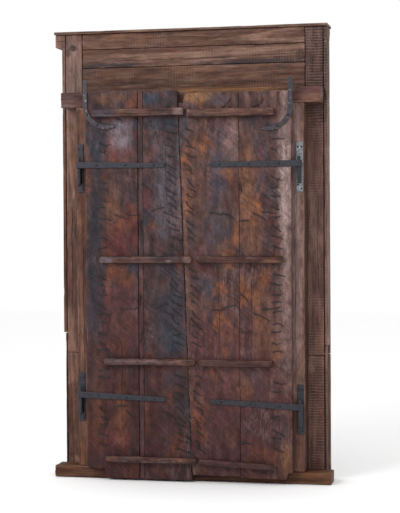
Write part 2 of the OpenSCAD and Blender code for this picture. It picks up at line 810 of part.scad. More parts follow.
sill();
lintel();
left_jamb();
right_jamb();
left_back_board();
right_back_board();
left_plinth_back_board();
right_plinth_back_board();
left_side_board();
right_side_board();
left_plinth_side_board();
right_plinth_side_board();
left_front_board();
right_front_board();
left_plinth_front_board();
right_plinth_front_board();
left_reveal_board();
right_reveal_board();
lower_head_board();
middle_head_board();
top_head_board();
frieze_board();
soffit_board();
cornice();
left_cornice_block();
right_cornice_block();
cap_board();
left_upper_pintle();
left_lower_pintle();
right_upper_pintle();
right_lower_pintle();
plate_screws();
left_outer_plank();
left_seam_strip();
left_inner_plank();
right_outer_plank();
right_inner_plank();
left_batten_1();
left_batten_2();
left_batten_3();
left_batten_4();
right_batten_1();
right_batten_2();
right_batten_3();
right_batten_4();
left_front_stiles();
right_front_stiles();
left_front_rails();
right_front_rails();
left_upper_strap();
left_lower_strap();
right_upper_strap();
right_lower_strap();
left_corner_iron();
right_corner_iron();
left_clenched_nails();
right_clenched_nails();
left_strap_nails();
right_strap_nails();
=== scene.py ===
# Double-leaf plank door: worn boards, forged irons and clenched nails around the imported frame
import bpy
import itertools
import json
import math
import random
import numpy as np
from mathutils import Matrix, Vector


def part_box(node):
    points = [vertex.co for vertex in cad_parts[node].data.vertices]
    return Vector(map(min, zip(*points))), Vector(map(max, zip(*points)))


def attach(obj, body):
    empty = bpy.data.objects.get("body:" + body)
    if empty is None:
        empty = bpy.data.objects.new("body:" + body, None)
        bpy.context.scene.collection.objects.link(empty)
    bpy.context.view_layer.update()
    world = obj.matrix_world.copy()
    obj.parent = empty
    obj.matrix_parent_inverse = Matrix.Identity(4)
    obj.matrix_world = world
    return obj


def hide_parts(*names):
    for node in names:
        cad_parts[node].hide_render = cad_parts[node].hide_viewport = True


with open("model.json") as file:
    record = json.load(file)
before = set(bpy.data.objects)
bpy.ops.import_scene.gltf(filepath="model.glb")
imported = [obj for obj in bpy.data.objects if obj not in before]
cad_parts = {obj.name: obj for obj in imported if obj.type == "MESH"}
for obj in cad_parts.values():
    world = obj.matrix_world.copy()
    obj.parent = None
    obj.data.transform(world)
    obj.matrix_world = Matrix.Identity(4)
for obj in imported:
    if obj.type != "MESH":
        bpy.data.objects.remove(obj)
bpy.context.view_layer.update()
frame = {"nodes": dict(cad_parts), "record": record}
mm = 0.001
smoothAngle = math.radians(50)


# A value for each axis: one along the grain, another across it
def byGrain(grain, across, along):
    return [along if axis == grain else across for axis in range(3)]


# Value noise between -1 and 1; size is one length, or a length for each axis
def noiseAt(points, size, seed):
    cells = points / np.array(size)
    low = np.floor(cells).astype(np.int64)
    share = cells - low
    share = share * share * (3 - 2 * share)
    total = np.zeros(len(points))
    for corner in itertools.product((0, 1), repeat=3):
        at = low + np.array(corner)
        mix = at[:, 0] * 73856093 ^ at[:, 1] * 19349663 ^ at[:, 2] * 83492791 ^ seed * 2654435761
        mix = ((mix ^ (mix >> 13)) * 1274126177) & 0x7FFFFFFF
        mix = (mix ^ (mix >> 15)) & 0xFFFF
        weight = np.prod(np.where(np.array(corner) == 1, share, 1 - share), axis=1)
        total += weight * (mix / 32767.5 - 1)
    return total


def getPoints(mesh):
    flat = np.empty(len(mesh.vertices) * 3)
    mesh.vertices.foreach_get("co", flat)
    return flat.reshape(-1, 3)


def setPoints(mesh, points):
    mesh.vertices.foreach_set("co", points.reshape(-1))
    mesh.update()


def setMask(mesh, name, values):
    mask = mesh.attributes.get(name) or mesh.attributes.new(name, "FLOAT", "POINT")
    mask.data.foreach_set("value", np.clip(values, 0, 1).astype(np.float32))


def smoothStep(low, high, value):
    share = np.clip((value - low) / (high - low), 0, 1)
    return share * share * (3 - 2 * share)


def selectNone():
    if bpy.context.mode != "OBJECT":
        bpy.ops.object.mode_set(mode="OBJECT")
    bpy.ops.object.select_all(action="DESELECT")


def editMode(on=True):
    bpy.ops.object.mode_set(mode="EDIT" if on else "OBJECT")


def makeActive(obj):
    selectNone()
    obj.select_set(True)
    bpy.context.view_layer.objects.active = obj


def applyModifier(obj, kind, **settings):
    makeActive(obj)
    modifier = obj.modifiers.new(kind.title(), kind)
    for key, value in settings.items():
        setattr(modifier, key, value)
    bpy.ops.object.modifier_apply(modifier=modifier.name)


def joinAll(pieces, name):
    selectNone()
    for piece in pieces:
        piece.select_set(True)
    bpy.context.view_layer.objects.active = pieces[0]
    if len(pieces) > 1:
        bpy.ops.object.join()
    joined = bpy.context.view_layer.objects.active
    joined.name = joined.data.name = name
    return joined


def finishPiece(piece, node, body, material):
    piece.data.materials.clear()
    piece.data.materials.append(material)
    makeActive(piece)
    bpy.ops.object.shade_smooth_by_angle(angle=smoothAngle)
    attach(piece, body)
    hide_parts(node)
    return piece


# Sizes in metres: step is the mesh's pitch across and along the grain
boardLook = {"step": (0.009, 0.013), "rounding": 0.003, "dish": 0.0012, "wander": 0.0018,
             "ridge": 0.0003, "chip": 0.004, "ragged": 0.002, "wearWidth": 0.012, "cracks": []}
# Lengths of the wear pattern, across and along the grain, and of a crack's bend
wearPattern = {"swell": (0.05, 0.35), "ripple": (0.006, 0.12), "chip": (0.012, 0.045), "patch": (0.03, 0.12),
               "chipCluster": 0.11, "bulge": 0.07, "endRough": 0.02, "endFine": 0.006,
               "crackBend": 0.003, "crackBendWidth": 0.012, "crackBendLength": 0.06}
lineGap = 0.0035  # nearest that a grid line comes to a crack's own lines


def addBlock(name, low, high):
    selectNone()
    low, high = Vector(low), Vector(high)
    bpy.ops.mesh.primitive_cube_add(size=1, location=(low + high) / 2, scale=high - low)
    block = bpy.context.object
    block.name = block.data.name = name
    bpy.ops.object.transform_apply(location=True, rotation=False, scale=True)
    return block


# Cuts the edges that run along one axis into pieces of about the given length
def subdivideAlong(block, axis, step):
    mesh = block.data
    points = getPoints(mesh)
    ends = np.empty(len(mesh.edges) * 2, np.int64)
    mesh.edges.foreach_get("vertices", ends)
    ends = ends.reshape(-1, 2)
    span = np.abs(points[ends[:, 1]] - points[ends[:, 0]])
    along = (span[:, axis] > 1.5 * step) & (span[:, axis] > 0.98 * np.linalg.norm(span, axis=1))
    if not along.any():
        return
    cuts = int(min(99, max(1, round(span[along, axis].max() / step) - 1)))
    bpy.context.tool_settings.mesh_select_mode = (False, True, False)
    mesh.vertices.foreach_set("select", np.zeros(len(mesh.vertices), bool))
    mesh.polygons.foreach_set("select", np.zeros(len(mesh.polygons), bool))
    mesh.edges.foreach_set("select", along)
    editMode()
    bpy.ops.mesh.subdivide(number_cuts=cuts)
    editMode(False)


# Rounds the arrises and cuts the faces small enough to wear
def cutGrid(block, low, high, grain, look, lines):
    makeActive(block)
    bpy.context.tool_settings.mesh_select_mode = (False, True, False)
    editMode()
    bpy.ops.mesh.select_all(action="SELECT")
    bpy.ops.mesh.bevel(offset=look["rounding"], segments=2, affect="EDGES")
    for axis in (0, 1, 2):
        if axis == grain:
            continue
        size = high[axis] - low[axis]
        count = max(1, round(size / look["step"][0]))
        places = [low[axis] + size * i / count for i in range(1, count)]
        if axis != 1:
            places = [p for p in places if all(abs(p - line) > lineGap for line in lines)] + lines
        for place in places:
            bpy.ops.mesh.select_all(action="SELECT")
            bpy.ops.mesh.bisect(plane_co=byGrain(axis, 0, place), plane_no=byGrain(axis, 0, 1))
    editMode(False)
    subdivideAlong(block, grain, look["step"][1])
    subdivideAlong(block, grain, look["step"][1])


# A board between two corners, its grain along one axis, worn, chipped and cracked.
# A crack is (place across the face from the low edge, start and end along the grain, width, depth)
def wornBoard(name, low, high, grain, look, seed):
    look = {**boardLook, **look}
    low, high = np.array(low, float), np.array(high, float)
    across = 2 if grain == 0 else 0
    lines = []
    for place, start, end, width, depth in look["cracks"]:
        middle = low[across] + place
        lines += [middle - width / 2, middle, middle + width / 2]
    block = addBlock(name, low, high)
    cutGrid(block, low, high, grain, look, lines)
    mesh = block.data
    points = getPoints(mesh)
    near = np.minimum(points - low, high - points)
    inward = np.where(points - low < high - points, 1.0, -1.0)
    onFace = np.clip(1 - near / (1.5 * look["rounding"]), 0, 1)
    size = wearPattern
    chips = smoothStep(0.15, 0.75, noiseAt(points, byGrain(grain, *size["chip"]), seed + 5))
    chips *= smoothStep(-0.3, 0.5, noiseAt(points, size["chipCluster"], seed + 6))
    axisPairs = ((0, 1), (0, 2), (1, 2))
    arris = np.maximum.reduce([onFace[:, i] * onFace[:, j] for i, j in axisPairs])
    worn = points.copy()
    for axis in (0, 1, 2):
        if axis == grain:
            rough = noiseAt(points, size["endRough"], seed + 3)
            rough += 0.5 * noiseAt(points, size["endFine"], seed + 4)
            push = look["ragged"] * np.clip(0.5 + 0.45 * rough, 0, 1)
        else:
            swell = 0.5 + 0.5 * noiseAt(points, byGrain(grain, *size["swell"]), seed + axis)
            swell += 0.25 * (1 + noiseAt(points, size["bulge"], seed + 7 + axis))
            amount = look["dish"] if axis == 1 else look["wander"]
            ripple = noiseAt(points, byGrain(grain, *size["ripple"]), seed + 9)
            push = amount * swell / 1.5 + look["ridge"] * (1 + ripple)
        worn[:, axis] += inward[:, axis] * onFace[:, axis] * push
        worn[:, axis] += inward[:, axis] * arris * look["chip"] * chips
    crackMask = np.zeros(len(points))
    for index, (place, start, end, width, depth) in enumerate(look["cracks"]):
        middle = low[across] + place
        run = points[:, grain] - low[grain]
        taper = 0.25 * (end - start)
        opened = smoothStep(start, start + taper, run) * (1 - smoothStep(end - taper, end, run))
        wobble = noiseAt(run[:, None] * [1, 0, 0], size["crackBendLength"], seed + 20 + index)
        offset = points[:, across] - middle
        worn[:, across] += size["crackBend"] * wobble * np.exp(-(offset / size["crackBendWidth"]) ** 2)
        bottom = (np.abs(offset) < 0.2 * width) & (points[:, 1] < low[1] + 0.5 * look["rounding"])
        worn[bottom, 1] += depth * opened[bottom]
        crackMask[bottom] = opened[bottom]
    edge = np.minimum.reduce([near[:, i] + near[:, j] for i, j in axisPairs])
    edge = np.clip(1 - edge / look["wearWidth"], 0, 1)
    patchy = 0.55 + 0.6 * noiseAt(points, byGrain(grain, *size["patch"]), seed + 8)
    setMask(mesh, "wear", edge * patchy + 0.8 * arris * chips)
    setMask(mesh, "crack", crackMask)
    setMask(mesh, "tone", np.full(len(points), random.Random(seed).random()))
    setPoints(mesh, worn)
    return block


def addNode(tree, kind, inputs=None, **settings):
    node = tree.nodes.new(kind)
    for key, value in settings.items():
        setattr(node, key, value)
    for key, value in (inputs or {}).items():
        if isinstance(value, bpy.types.NodeSocket):
            tree.links.new(value, node.inputs[key])
        else:
            node.inputs[key].default_value = value
    return node


def calculate(tree, operation, *values):
    return addNode(tree, "ShaderNodeMath", dict(enumerate(values)), operation=operation).outputs[0]


def times(tree, first, second):
    return calculate(tree, "MULTIPLY", first, second)


def plus(tree, first, second):
    return calculate(tree, "ADD", first, second)


def minus(tree, first, second):
    return calculate(tree, "SUBTRACT", first, second)


def remap(tree, value, fromLow, fromHigh, toLow=0.0, toHigh=1.0):
    inputs = {"Value": value, "From Min": fromLow, "From Max": fromHigh, "To Min": toLow, "To Max": toHigh}
    return addNode(tree, "ShaderNodeMapRange", inputs, interpolation_type="SMOOTHSTEP").outputs["Result"]


def mixColour(tree, amount, first, second, blend="MIX"):
    node = addNode(tree, "ShaderNodeMix", data_type="RGBA", blend_type=blend)
    for socket, value in ((node.inputs[0], amount), (node.inputs[6], first), (node.inputs[7], second)):
        if isinstance(value, bpy.types.NodeSocket):
            tree.links.new(value, socket)
        else:
            socket.default_value = value if isinstance(value, float) else (*value, 1)
    return node.outputs[2]


def noiseNode(tree, vector, scale, detail=3.0, roughness=0.55, distortion=0.0):
    inputs = {"Vector": vector, "Scale": scale, "Detail": detail, "Roughness": roughness,
              "Distortion": distortion}
    return addNode(tree, "ShaderNodeTexNoise", inputs).outputs["Fac"]


def newGroup(name, inputs, outputs):
    group = bpy.data.node_groups.new(name, "ShaderNodeTree")
    for label, kind, value in inputs:
        socket = group.interface.new_socket(label, in_out="INPUT", socket_type=kind)
        if value is not None:
            socket.default_value = value
    for label, kind in outputs:
        group.interface.new_socket(label, in_out="OUTPUT", socket_type=kind)
    return group, group.nodes.new("NodeGroupInput").outputs, group.nodes.new("NodeGroupOutput").inputs


def useGroup(tree, group, inputs):
    return addNode(tree, "ShaderNodeGroup", inputs, node_tree=group).outputs


def mapVector(tree, vector, **settings):
    inputs = {"Vector": vector, **{name.title(): value for name, value in settings.items()}}
    return addNode(tree, "ShaderNodeMapping", inputs).outputs[0]


# Multiplies a colour by one value
def shade(tree, amount, colour, value):
    grey = addNode(tree, "ShaderNodeCombineColor", {0: value, 1: value, 2: value}).outputs[0]
    return mixColour(tree, amount, colour, grey, "MULTIPLY")


def newMaterial(name):
    material = bpy.data.materials.new(name)
    material.use_nodes = True
    tree = material.node_tree
    tree.nodes.clear()
    output = addNode(tree, "ShaderNodeOutputMaterial")
    shader = addNode(tree, "ShaderNodeBsdfPrincipled")
    tree.links.new(shader.outputs[0], output.inputs["Surface"])
    return material, tree, shader


def connectSurface(tree, shader, colour, roughness, height, strength, distance):
    bump = addNode(tree, "ShaderNodeBump", {"Height": height, "Strength": strength, "Distance": distance})
    tree.links.new(colour, shader.inputs["Base Color"])
    tree.links.new(roughness, shader.inputs["Roughness"])
    tree.links.new(bump.outputs["Normal"], shader.inputs["Normal"])


# Wood grain on a vector that is already squeezed along the grain
def makeGrainGroup():
    group, given, out = newGroup("woodGrain", [("Vector", "NodeSocketVector", None)],
                                 [("Fibre", "NodeSocketFloat"), ("Streak", "NodeSocketFloat"),
                                  ("Figure", "NodeSocketFloat"), ("Pores", "NodeSocketFloat"),
                                  ("Height", "NodeSocketFloat")])
    fibre = noiseNode(group, given["Vector"], 170, 3, 0.65)
    streak = noiseNode(group, given["Vector"], 42, 5, 0.6, 0.5)
    slow = noiseNode(group, given["Vector"], 8, 2, 0.5, 0.9)
    rings = calculate(group, "PINGPONG", times(group, slow, 11.0), 1.0)
    pores = remap(group, noiseNode(group, given["Vector"], 380, 1, 0.5), 0.60, 0.70)
    height = plus(group, times(group, fibre, 0.5), times(group, streak, 0.8))
    height = minus(group, height, times(group, pores, 0.35))
    for label, value in (("Fibre", fibre), ("Streak", streak), ("Figure", rings), ("Pores", pores),
                         ("Height", height)):
        group.links.new(value, out[label])
    return group


# Kerfs of a saw across the grain, in patches
def makeSawGroup():
    group, given, out = newGroup("sawMarks", [("Vector", "NodeSocketVector", None),
                                              ("Along", "NodeSocketFloat", 0.0),
                                              ("Pitch", "NodeSocketFloat", 0.008),
                                              ("Cover", "NodeSocketFloat", 0.5)],
                                 [("Mask", "NodeSocketFloat"), ("Height", "NodeSocketFloat")])
    drift = times(group, noiseNode(group, given["Vector"], 9, 2), 0.02)
    place = calculate(group, "DIVIDE", plus(group, given["Along"], drift), given["Pitch"])
    wave = calculate(group, "SINE", times(group, place, 2 * math.pi))
    patch = noiseNode(group, given["Vector"], 4.5, 2, 0.6)
    low = minus(group, 0.78, times(group, given["Cover"], 0.5))
    broken = remap(group, noiseNode(group, given["Vector"], 60, 2), 0.3, 0.6, 0.3, 1.0)
    strength = times(group, remap(group, patch, low, plus(group, low, 0.1)), broken)
    height = times(group, wave, strength)
    group.links.new(times(group, remap(group, wave, 0.1, 0.9), strength), out["Mask"])
    group.links.new(height, out["Height"])
    return group


# Soft patch round a centre in the door's face
def makeZoneGroup():
    inputs = [("Vector", "NodeSocketVector", None)]
    inputs += [(label, "NodeSocketFloat", value) for label, value in
               (("X", 0.0), ("Z", 1.0), ("Half Width", 0.1), ("Half Height", 0.1), ("Softness", 0.4))]
    group, given, out = newGroup("paintZone", inputs, [("Mask", "NodeSocketFloat")])
    split = addNode(group, "ShaderNodeSeparateXYZ", {0: given["Vector"]}).outputs
    square = []
    for axis, centre, half in (("X", "X", "Half Width"), ("Z", "Z", "Half Height")):
        offset = calculate(group, "DIVIDE", minus(group, split[axis], given[centre]), given[half])
        square.append(times(group, offset, offset))
    far = calculate(group, "SQRT", plus(group, *square))
    stir = times(group, minus(group, noiseNode(group, given["Vector"], 16, 4, 0.65), 0.5), 1.6)
    far = plus(group, far, stir)
    low = minus(group, 1.0, given["Softness"])
    high = plus(group, 1.0, given["Softness"])
    group.links.new(remap(group, far, low, high, 1.0, 0.0), out["Mask"])
    return group


# Broken mask from the worn edges that a piece carries
def makeWearGroup():
    group, given, out = newGroup("edgeWear", [("Vector", "NodeSocketVector", None),
                                              ("Spread", "NodeSocketFloat", 0.5)],
                                 [("Mask", "NodeSocketFloat"), ("CrackAndShade", "NodeSocketFloat")])
    wear = addNode(group, "ShaderNodeAttribute", attribute_name="wear").outputs["Fac"]
    crack = addNode(group, "ShaderNodeAttribute", attribute_name="crack").outputs["Fac"]
    breakUp = noiseNode(group, given["Vector"], 70, 4, 0.65)
    value = plus(group, wear, times(group, minus(group, breakUp, 0.5), 1.1))
    low = minus(group, 0.85, given["Spread"])
    group.links.new(remap(group, value, low, plus(group, low, 0.3)), out["Mask"])
    # the crack attribute holds real cracks, and on the battens painted shade along the foot
    group.links.new(remap(group, crack, 0.15, 0.7), out["CrackAndShade"])
    return group


grainGroup = makeGrainGroup()
sawGroup = makeSawGroup()
zoneGroup = makeZoneGroup()
wearGroup = makeWearGroup()


# Colours are linear. A stain is (colour, noise scale, lowest value, amount); a zone is
# (colour, x, z, half width, half height, softness, amount)
woodLook = {"grain": 2, "dark": (0.06, 0.030, 0.020), "mid": (0.13, 0.070, 0.050),
            "light": (0.20, 0.120, 0.090), "stains": [], "zones": [], "wear": (0.26, 0.155, 0.105),
            "wearSpread": 0.35, "crackAndShadeColour": (0.012, 0.007, 0.005), "saw": 0.3, "sawPitch": 0.008,
            "sawAlong": 2, "roughness": (0.55, 0.8), "bump": 0.0012, "stretch": 0.07,
            "sawShare": 0.38, "contrast": (0.30, 0.68), "patchStretch": 0.35, "gloss": 0.2, "mottle": 0.25,
            "scuff": (0.24, 0.18, 0.17), "scuffAmount": 0.0, "dent": 0.0, "stainEdge": 0.12,
            "fibre": (0.70, 1.25), "brushed": 0.0, "brushTurn": 52}
# Scales of the noise behind each effect, and how strongly each shows
woodNoise = {"toneShift": (3.1, 7.7, 5.3), "stainShift": 3.7, "light": 5, "cloud": 28, "scratch": 120,
             "scratchPatch": 7, "stroke": 95, "strokeSqueeze": 0.10, "strokePatch": 5, "dent": 32, "sheen": 30}
woodShare = {"fibre": 0.8, "pores": 0.55, "wear": 0.75, "sawHeight": 0.25, "brushHeight": 0.35, "bump": 0.7}


def woodMaterial(name, look):
    look = {**woodLook, **look}
    material, tree, shader = newMaterial(name)
    where = addNode(tree, "ShaderNodeTexCoord").outputs["Object"]
    tone = addNode(tree, "ShaderNodeAttribute", attribute_name="tone").outputs["Fac"]
    shift = {axis: times(tree, tone, by) for axis, by in zip("XYZ", woodNoise["toneShift"])}
    shift = addNode(tree, "ShaderNodeCombineXYZ", shift).outputs[0]
    moved = addNode(tree, "ShaderNodeVectorMath", {0: where, 1: shift}, operation="ADD").outputs[0]
    along = mapVector(tree, moved, scale=byGrain(look["grain"], 1, look["stretch"]))
    patchy = mapVector(tree, moved, scale=byGrain(look["grain"], 1, look["patchStretch"]))
    grain = useGroup(tree, grainGroup, {"Vector": along})
    streak = remap(tree, grain["Streak"], *look["contrast"])
    colour = mixColour(tree, streak, look["dark"], look["mid"])
    lightPatch = remap(tree, noiseNode(tree, patchy, woodNoise["light"], 3), 0.38, 0.62, 0.15, 0.9)
    lightShare = times(tree, remap(tree, grain["Figure"], 0.2, 0.95), lightPatch)
    colour = mixColour(tree, lightShare, colour, look["light"])
    for index, (stain, scale, lowest, amount) in enumerate(look["stains"]):
        spot = mapVector(tree, patchy, location=(index * woodNoise["stainShift"], 1.3, index))
        mask = remap(tree, noiseNode(tree, spot, scale, 4, 0.6), lowest, lowest + look["stainEdge"],
                     0.0, amount)
        colour = mixColour(tree, mask, colour, stain)
    for stain, x, z, halfWidth, halfHeight, softness, amount in look["zones"]:
        zone = useGroup(tree, zoneGroup, {"Vector": where, "X": x, "Z": z, "Half Width": halfWidth,
                                          "Half Height": halfHeight, "Softness": softness})
        through = remap(tree, grain["Streak"], 0.32, 0.62, 0.55 * amount, amount)
        colour = mixColour(tree, times(tree, zone["Mask"], through), colour, stain)
    deep = remap(tree, grain["Fibre"], 0.3, 0.7, *look["fibre"])
    colour = shade(tree, woodShare["fibre"], colour, deep)
    colour = mixColour(tree, times(tree, grain["Pores"], woodShare["pores"]), colour, look["crackAndShadeColour"])
    cloud = noiseNode(tree, patchy, woodNoise["cloud"], 4, 0.65)
    cloud = remap(tree, cloud, 0.3, 0.7, 1 - look["mottle"], 1 + look["mottle"])
    colour = shade(tree, 1.0, colour, cloud)
    if look["scuffAmount"]:
        scratch = remap(tree, noiseNode(tree, along, woodNoise["scratch"], 3, 0.7, 1.5), 0.50, 0.62)
        cover = noiseNode(tree, patchy, woodNoise["scratchPatch"], 3)
        cover = remap(tree, cover, 0.52, 0.64, 0.0, look["scuffAmount"])
        colour = mixColour(tree, times(tree, scratch, cover), colour, look["scuff"])
    brush = None
    if look["brushed"]:  # slanting strokes of a scraper or a stiff brush
        turned = mapVector(tree, moved, rotation=(0, math.radians(look["brushTurn"]), 0))
        strokes = mapVector(tree, turned, scale=(1, 1, woodNoise["strokeSqueeze"]))
        brush = remap(tree, noiseNode(tree, strokes, woodNoise["stroke"], 3, 0.65, 0.8), 0.36, 0.64)
        cover = remap(tree, noiseNode(tree, moved, woodNoise["strokePatch"], 3), 0.42, 0.58, 0.25, 1.0)
        level = plus(tree, 1 - look["brushed"], times(tree, brush, 2 * look["brushed"]))
        colour = shade(tree, cover, colour, level)
    split = addNode(tree, "ShaderNodeSeparateXYZ", {0: where}).outputs
    saw = useGroup(tree, sawGroup, {"Vector": moved, "Along": split[look["sawAlong"]],
                                    "Pitch": look["sawPitch"], "Cover": look["saw"]})
    colour = mixColour(tree, times(tree, saw["Mask"], look["sawShare"]), colour, look["wear"])
    edge = useGroup(tree, wearGroup, {"Vector": patchy, "Spread": look["wearSpread"]})
    colour = mixColour(tree, times(tree, edge["Mask"], woodShare["wear"]), colour, look["wear"])
    # dark cracks, and on the battens painted shade along the foot
    colour = mixColour(tree, edge["CrackAndShade"], colour, look["crackAndShadeColour"])
    sheen = noiseNode(tree, patchy, woodNoise["sheen"], 4)
    roughness = remap(tree, sheen, 0.35, 0.65, *look["roughness"])
    height = plus(tree, grain["Height"], times(tree, saw["Height"], woodShare["sawHeight"]))
    if look["dent"]:
        dents = noiseNode(tree, moved, woodNoise["dent"], 3, 0.6)
        height = plus(tree, height, times(tree, dents, look["dent"]))
    if brush:
        height = plus(tree, height, times(tree, brush, woodShare["brushHeight"]))
    connectSurface(tree, shader, colour, roughness, height, woodShare["bump"], look["bump"])
    shader.inputs["Specular IOR Level"].default_value = look["gloss"]
    return material


ironLook = {"dark": (0.010, 0.010, 0.015), "mid": (0.025, 0.025, 0.036), "pale": (0.080, 0.076, 0.096),
            "rust": (0.045, 0.022, 0.016), "paleFrom": 0.60, "rustFrom": 0.62, "metallic": 0.35,
            "roughness": (0.42, 0.68), "scale": 1.0, "frontFrom": None, "front": (0.012, 0.016, 0.021)}


def ironMaterial(name, look):
    look = {**ironLook, **look}
    material, tree, shader = newMaterial(name)
    where = addNode(tree, "ShaderNodeTexCoord").outputs["Object"]
    size = look["scale"]
    scale = noiseNode(tree, where, 45 * size, 5, 0.65)
    colour = mixColour(tree, remap(tree, scale, 0.35, 0.65), look["dark"], look["mid"])
    rust = remap(tree, noiseNode(tree, where, 22 * size, 5, 0.7), look["rustFrom"], look["rustFrom"] + 0.1)
    colour = mixColour(tree, times(tree, rust, 0.7), colour, look["rust"])
    # pale flecks; on the nails they are painted glints
    bright = noiseNode(tree, where, 75 * size, 4, 0.7, 0.6)
    pale = remap(tree, bright, look["paleFrom"], look["paleFrom"] + 0.1)
    colour = mixColour(tree, times(tree, pale, 0.8), colour, look["pale"])
    if look["frontFrom"] is not None:
        split = addNode(tree, "ShaderNodeSeparateXYZ", {0: where}).outputs
        front = remap(tree, split["Y"], look["frontFrom"], look["frontFrom"] + mm, 1.0, 0.0)
        colour = mixColour(tree, front, colour, look["front"])
    roughness = remap(tree, scale, 0.3, 0.7, *look["roughness"])
    shader.inputs["Metallic"].default_value = look["metallic"]
    pits = noiseNode(tree, where, 260 * size, 3, 0.6)
    height = plus(tree, times(tree, pits, 0.4), scale)
    connectSurface(tree, shader, colour, roughness, height, 0.6, 0.0008)
    return material


stageLook = {"floor": 0.97, "floorRoughness": 0.9, "floorSize": 24, "world": 1.0, "aim": (0, 0, 1.1)}
# Name: place, power in watts, width
lampLooks = {"keyLight": ((-2.6, -4.6, 4.2), 170, 2.6), "fillLight": ((3.2, -4.0, 2.6), 10, 3.0)}


def buildStage():
    selectNone()
    bpy.ops.mesh.primitive_plane_add(size=stageLook["floorSize"], location=(0, 3, -mm))
    floor = bpy.context.object
    floor.name = "floor"
    bpy.ops.object.transform_apply(location=True)
    material = bpy.data.materials.new("paleFloor")
    material.use_nodes = True
    shader = material.node_tree.nodes["Principled BSDF"]
    shader.inputs["Base Color"].default_value = (stageLook["floor"],) * 3 + (1,)
    shader.inputs["Roughness"].default_value = stageLook["floorRoughness"]
    floor.data.materials.append(material)
    world = bpy.data.worlds.new("softRoom")
    bpy.context.scene.world = world
    world.use_nodes = True
    world.node_tree.nodes["Background"].inputs[0].default_value = (1, 1, 1, 1)
    world.node_tree.nodes["Background"].inputs[1].default_value = stageLook["world"]
    for name, (place, power, size) in lampLooks.items():
        light = bpy.data.lights.new(name, "AREA")
        light.energy = power
        light.size = size
        lamp = bpy.data.objects.new(name, light)
        bpy.context.scene.collection.objects.link(lamp)
        lamp.location = place
        toDoor = Vector(stageLook["aim"]) - Vector(place)
        lamp.rotation_euler = toDoor.to_track_quat("-Z", "Y").to_euler()
    bpy.context.scene.view_settings.view_transform = "Standard"


cameraLook = {"place": (1.618, -7.178, 1.258), "yaw": 12.37, "pitch": -0.98, "roll": -0.33, "lens": 101.73,
              "sensor": 36}


def buildCamera():
    camera = bpy.data.cameras.new("camera")
    camera.lens = cameraLook["lens"]
    camera.sensor_width = cameraLook["sensor"]
    holder = bpy.data.objects.new("camera", camera)
    bpy.context.scene.collection.objects.link(holder)
    turn = Matrix.Identity(4)
    for angle, axis in ((cameraLook["yaw"], "Z"), (90 + cameraLook["pitch"], "X"), (cameraLook["roll"], "Z")):
        turn @= Matrix.Rotation(math.radians(angle), 4, axis)
    holder.matrix_world = Matrix.Translation(cameraLook["place"]) @ turn
    bpy.context.scene.camera = holder


buildStage()
buildCamera()
print("stage and camera ready")


frameWood = woodMaterial("frameWood", {
    "dark": (0.044, 0.016, 0.010), "mid": (0.092, 0.040, 0.028), "light": (0.150, 0.078, 0.055),
    "stains": [((0.030, 0.017, 0.015), 5, 0.55, 0.65), ((0.130, 0.054, 0.026), 6, 0.57, 0.40)],
    "zones": [((0.225, 0.144, 0.132), 0.545, 1.30, 0.034, 0.76, 0.5, 0.90),  # paler face by the right leaf
              ((0.210, 0.095, 0.048), 0.584, 1.30, 0.004, 0.75, 0.5, 0.60),    # rubbed arris
              ((0.014, 0.005, 0.004), 0.591, 1.00, 0.007, 1.20, 0.3, 0.95),    # painted shade on the right jamb's outer side, which faces away from the light
              ((0.125, 0.055, 0.032), -0.568, 1.20, 0.007, 0.80, 0.6, 0.45),   # orange streak
              ((0.120, 0.048, 0.024), -0.545, 0.10, 0.060, 0.14, 0.5, 0.60)],  # foot of the left jamb
    "saw": 0.05, "wearSpread": 0.45, "wear": (0.20, 0.115, 0.080)})
sillWood = woodMaterial("sillWood", {
    "grain": 0, "dark": (0.036, 0.011, 0.006), "mid": (0.078, 0.030, 0.016), "light": (0.125, 0.058, 0.030),
    "stains": [((0.115, 0.048, 0.022), 5, 0.52, 0.6), ((0.024, 0.010, 0.008), 4, 0.55, 0.6)],
    "zones": [((0.150, 0.140, 0.135), -0.700, 0.09, 0.050, 0.010, 0.5, 0.45),
              ((0.030, 0.010, 0.007), 0.050, 0.03, 0.450, 0.05, 0.4, 0.75)],
    "wear": (0.17, 0.10, 0.065), "wearSpread": 0.25, "saw": 0.0})
lintelWood = woodMaterial("lintelWood", {
    "grain": 0, "dark": (0.036, 0.014, 0.012), "mid": (0.085, 0.036, 0.032), "light": (0.140, 0.066, 0.045),
    "stains": [((0.110, 0.056, 0.046), 5, 0.54, 0.5)],
    "zones": [((0.170, 0.078, 0.030), 0.220, 1.965, 0.300, 0.020, 0.4, 0.80),
              ((0.130, 0.075, 0.072), -0.640, 1.920, 0.050, 0.040, 0.5, 0.60)],
    "saw": 0.1, "wear": (0.20, 0.12, 0.085)})
uprightWood = woodMaterial("uprightWood", {
    "dark": (0.052, 0.021, 0.015), "mid": (0.128, 0.060, 0.044), "light": (0.215, 0.120, 0.090),
    "stains": [((0.034, 0.018, 0.017), 5, 0.56, 0.6), ((0.150, 0.068, 0.036), 7, 0.58, 0.45)],
    "zones": [((0.175, 0.110, 0.095), -0.640, 2.05, 0.060, 0.24, 0.5, 0.75),    # paler head of the left post
              ((0.030, 0.015, 0.013), -0.668, 2.190, 0.014, 0.020, 0.4, 0.85),  # knots near the head
              ((0.026, 0.013, 0.011), -0.640, 2.215, 0.018, 0.014, 0.4, 0.85),
              ((0.058, 0.022, 0.014), 0.000, 0.28, 0.900, 0.30, 0.08, 0.80),    # darker foot
              ((0.028, 0.011, 0.008), 0.690, 0.30, 0.012, 0.34, 0.2, 0.70)],
    "saw": 0.45, "wear": (0.235, 0.150, 0.125), "wearSpread": 0.25})
